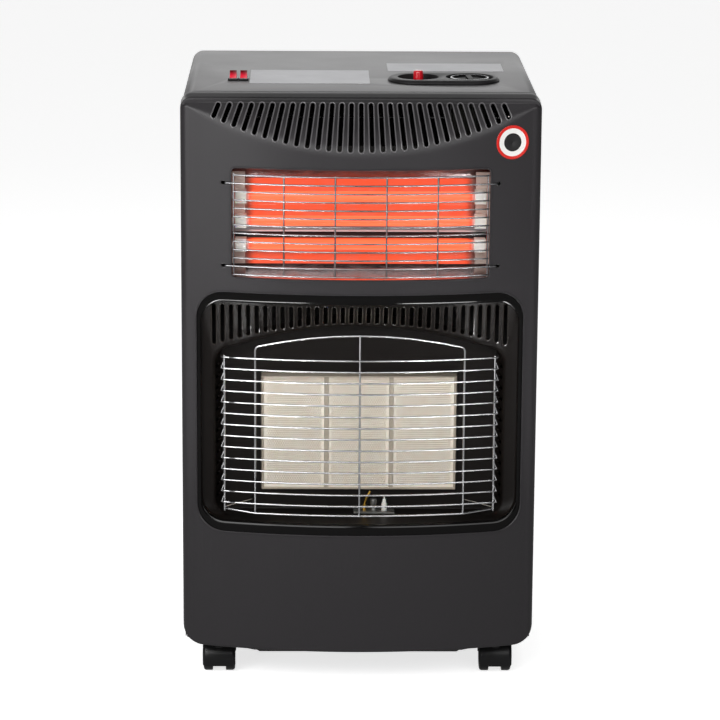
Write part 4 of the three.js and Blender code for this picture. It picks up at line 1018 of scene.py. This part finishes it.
def screw(centre, normal, radius=3.4):
    """A pan head with a cross recess, facing along normal."""
    height = radius * 0.55
    profile = [(0.01, -0.4), (radius, -0.4), (radius, 0.3), (radius * 0.9, height * 0.6),
               (radius * 0.6, height * 0.92), (radius * 0.34, height), (radius * 0.3, height * 0.45),
               (0.01, height * 0.4)]
    verts, faces = lathe(profile, (0, 0, 0), "Z", 20)
    turn = Vector((0, 0, 1)).rotation_difference(Vector(normal)).to_matrix()
    return [turn @ p + Vector(centre) for p in verts], faces


def build_fasteners():
    back = 368.3
    rear = [screw((x, back, z), (0, 1, 0)) for x in (-192, 0, 192) for z in (640, 704)]
    sides = [screw((side * 208.5, 36.5, z), (side, 0, 0)) for side in (-1, 1) for z in (90, 300, 500, 690)]
    piece("cabinet_screws", rear + sides, CAST)
    cover = [screw((x, back + 0.1, 620), (0, 1, 0), 4.2) for x in (-150, 150)]
    piece("cover_screws", cover, CAST, "back_cover")
    plates = [screw((x + dx, y + dy, 45.5), (0, 0, -1), 2.6)
              for x, y in CASTERS.values() for dx in (-14, 14) for dy in (-14, 14)]
    piece("caster_screws", plates, CAST)


def dress_nodes():
    for names, material, edge in (
            (("cabinet_wrap", "base_tray", "rear_top_panel", "rear_cover"), PAINT, 0.35),
            (("heat_shield",), SHIELD_AS_SHADE, 0.2), (("control_bezel",), BEZEL, 0.5),
            (("cord_gland", "piezo_igniter", "switch_frame_1", "switch_frame_2"), BLACK, 0.25),
            (("rocker_1", "rocker_2"), RED_CLEAR, 0.45), (("valve_spindle",), SPINDLE, 0.2),
            (("gas_manifold", "pilot_burner"), CAST, 0.3), (("gas_valve",), VALVE, 0.3),
            (("hose_nozzle", "thermocouple"), BRASS, 0.25),
            (("element_bracket_left", "element_bracket_right"), BRACKET, 0.2),
            ([f"element_cap_{side}_{i}" for side in ("left", "right") for i in (1, 2, 3)],
             WHITE_CERAMIC, 0.7),
            (("spark_electrode",), WHITE_CERAMIC, 0.2), (("burner_body",), BURNER_STEEL, 0.4),
            (("burner_frame",), DIVIDER, 0.4), (("main_gas_pipe", "pilot_gas_pipe"), PIPE, 0.0),
            ([f"caster_mount_{name}" for name in CASTERS], CAST, 0.3)):
        dress(names, material, edge)


# ---- studio
def area_light(name, location, target, width, height, power, spread=180):
    light = bpy.data.lights.new(name, "AREA")
    light.shape = "RECTANGLE"
    light.size, light.size_y = width, height
    light.energy = power
    light.spread = math.radians(spread)
    obj = bpy.data.objects.new(name, light)
    obj.location = location
    obj.rotation_euler = (Vector(target) - Vector(location)).to_track_quat("-Z", "Y").to_euler()
    scene.collection.objects.link(obj)


def build_floor():
    """A white floor, which all but the camera see darker."""
    floor = shader("studio_floor", "f4f4f4", 0.9, Emission_Color=(1, 1, 1, 1))
    shown = combine(floor, "MAXIMUM", 0.24, node(floor, "LightPath", "Is Camera Ray"))
    plug(floor, "Emission Strength", combine(floor, "MULTIPLY", shown, 0.72))
    plug(floor, "Base Color", blend(floor, shown, "202020", "f4f4f4"))
    mesh = bpy.data.meshes.new("studio_floor")
    mesh.from_pydata([(-14, -14, 0), (14, -14, 0), (14, 14, 0), (-14, 14, 0)], [], [(0, 1, 2, 3)])
    mesh.materials.append(floor)
    obj = bpy.data.objects.new("studio_floor", mesh)
    scene.collection.objects.link(obj)


def build_world():
    """Bright behind the heater and dim in front; what the camera itself sees of it is plain white."""
    world = bpy.data.worlds.new("studio")
    world.use_nodes = True
    shown = world.node_tree.nodes["Background"]
    shown.inputs["Color"].default_value = (1, 1, 1, 1)
    shown.inputs["Strength"].default_value = 1.05
    direction = node(world, "SeparateXYZ", "Y", {"Vector": node(world, "TexCoord", "Generated")})
    strength = ramp(world, direction, 0.45, 0.9, 0.06, 1.58)
    room = node(world, "Background", "Background", {"Strength": strength})
    seen = node(world, "MixShader", "Shader", {
        "Fac": node(world, "LightPath", "Is Camera Ray"), 1: room, 2: shown.outputs["Background"]})
    world.node_tree.links.new(seen, world.node_tree.nodes["World Output"].inputs["Surface"])
    scene.world = world


def build_studio():
    """Soft boxes in front and behind, and two low strips that graze the surround's walls."""
    build_floor()
    build_world()
    area_light("key", (-1.15, -2.6, 1.95), (0, -0.1, 0.5), 2.4, 1.1, 54)
    area_light("fill", (0.95, -2.7, 1.6), (0, -0.1, 0.45), 1.6, 0.9, 19)
    area_light("overhead", (0, -0.75, 2.7), (0, -0.25, 0.5), 1.8, 0.5, 3)
    area_light("rear", (0, 1.7, 2.2), (0, 0, 0.7), 1.8, 1.0, 10)
    area_light("box_left", (-1.0, -1.5, 0.72), (-0.15, -0.2, 0.65), 0.8, 0.9, 7.0)
    area_light("box_right", (0.42, -1.55, 0.85), (0.08, -0.2, 0.6), 0.5, 0.8, 1.0)
    for side, x, width, power in (("left", -0.275, 0.25, 0.12), ("right", 0.245, 0.23, 0.1)):
        area_light(f"strip_{side}", (x, -0.52, 0.012), (x * 0.6, -0.2, 0.47), width, 0.04, power, 44)
    scene.view_settings.view_transform = "Standard"


def build_camera():
    """The photograph's viewpoint, from the fit of the heater's edges."""
    yaw, pitch, roll = 0.0162, 0.2339, 0.0066
    focal_px, photo_px, sensor = 3170.89, 720, 36
    forward = Vector((math.sin(yaw) * math.cos(pitch), math.cos(yaw) * math.cos(pitch), -math.sin(pitch)))
    level = Vector((math.cos(yaw), -math.sin(yaw), 0))
    over = level.cross(forward)
    right = level * math.cos(roll) + over * math.sin(roll)
    up = over * math.cos(roll) - level * math.sin(roll)
    data = bpy.data.cameras.new("camera")
    data.sensor_width = sensor
    data.lens = focal_px / photo_px * sensor
    data.clip_end = 100
    obj = bpy.data.objects.new("camera", data)
    obj.matrix_world = Matrix((
        (right.x, up.x, -forward.x, 0), (right.y, up.y, -forward.y, 0),
        (right.z, up.z, -forward.z, 0), (0, 0, 0, 1)))
    obj.location = place((-58.54, -3638.06, 1267.16))
    scene.collection.objects.link(obj)
    scene.camera = obj


build_camera()
build_front()
build_surround()
build_upper_guard()
build_lower_guard()
build_reflector()
build_tubes()
build_plaques()
build_controls()
build_casters()
build_plates()
build_fasteners()
dress_nodes()
build_studio()
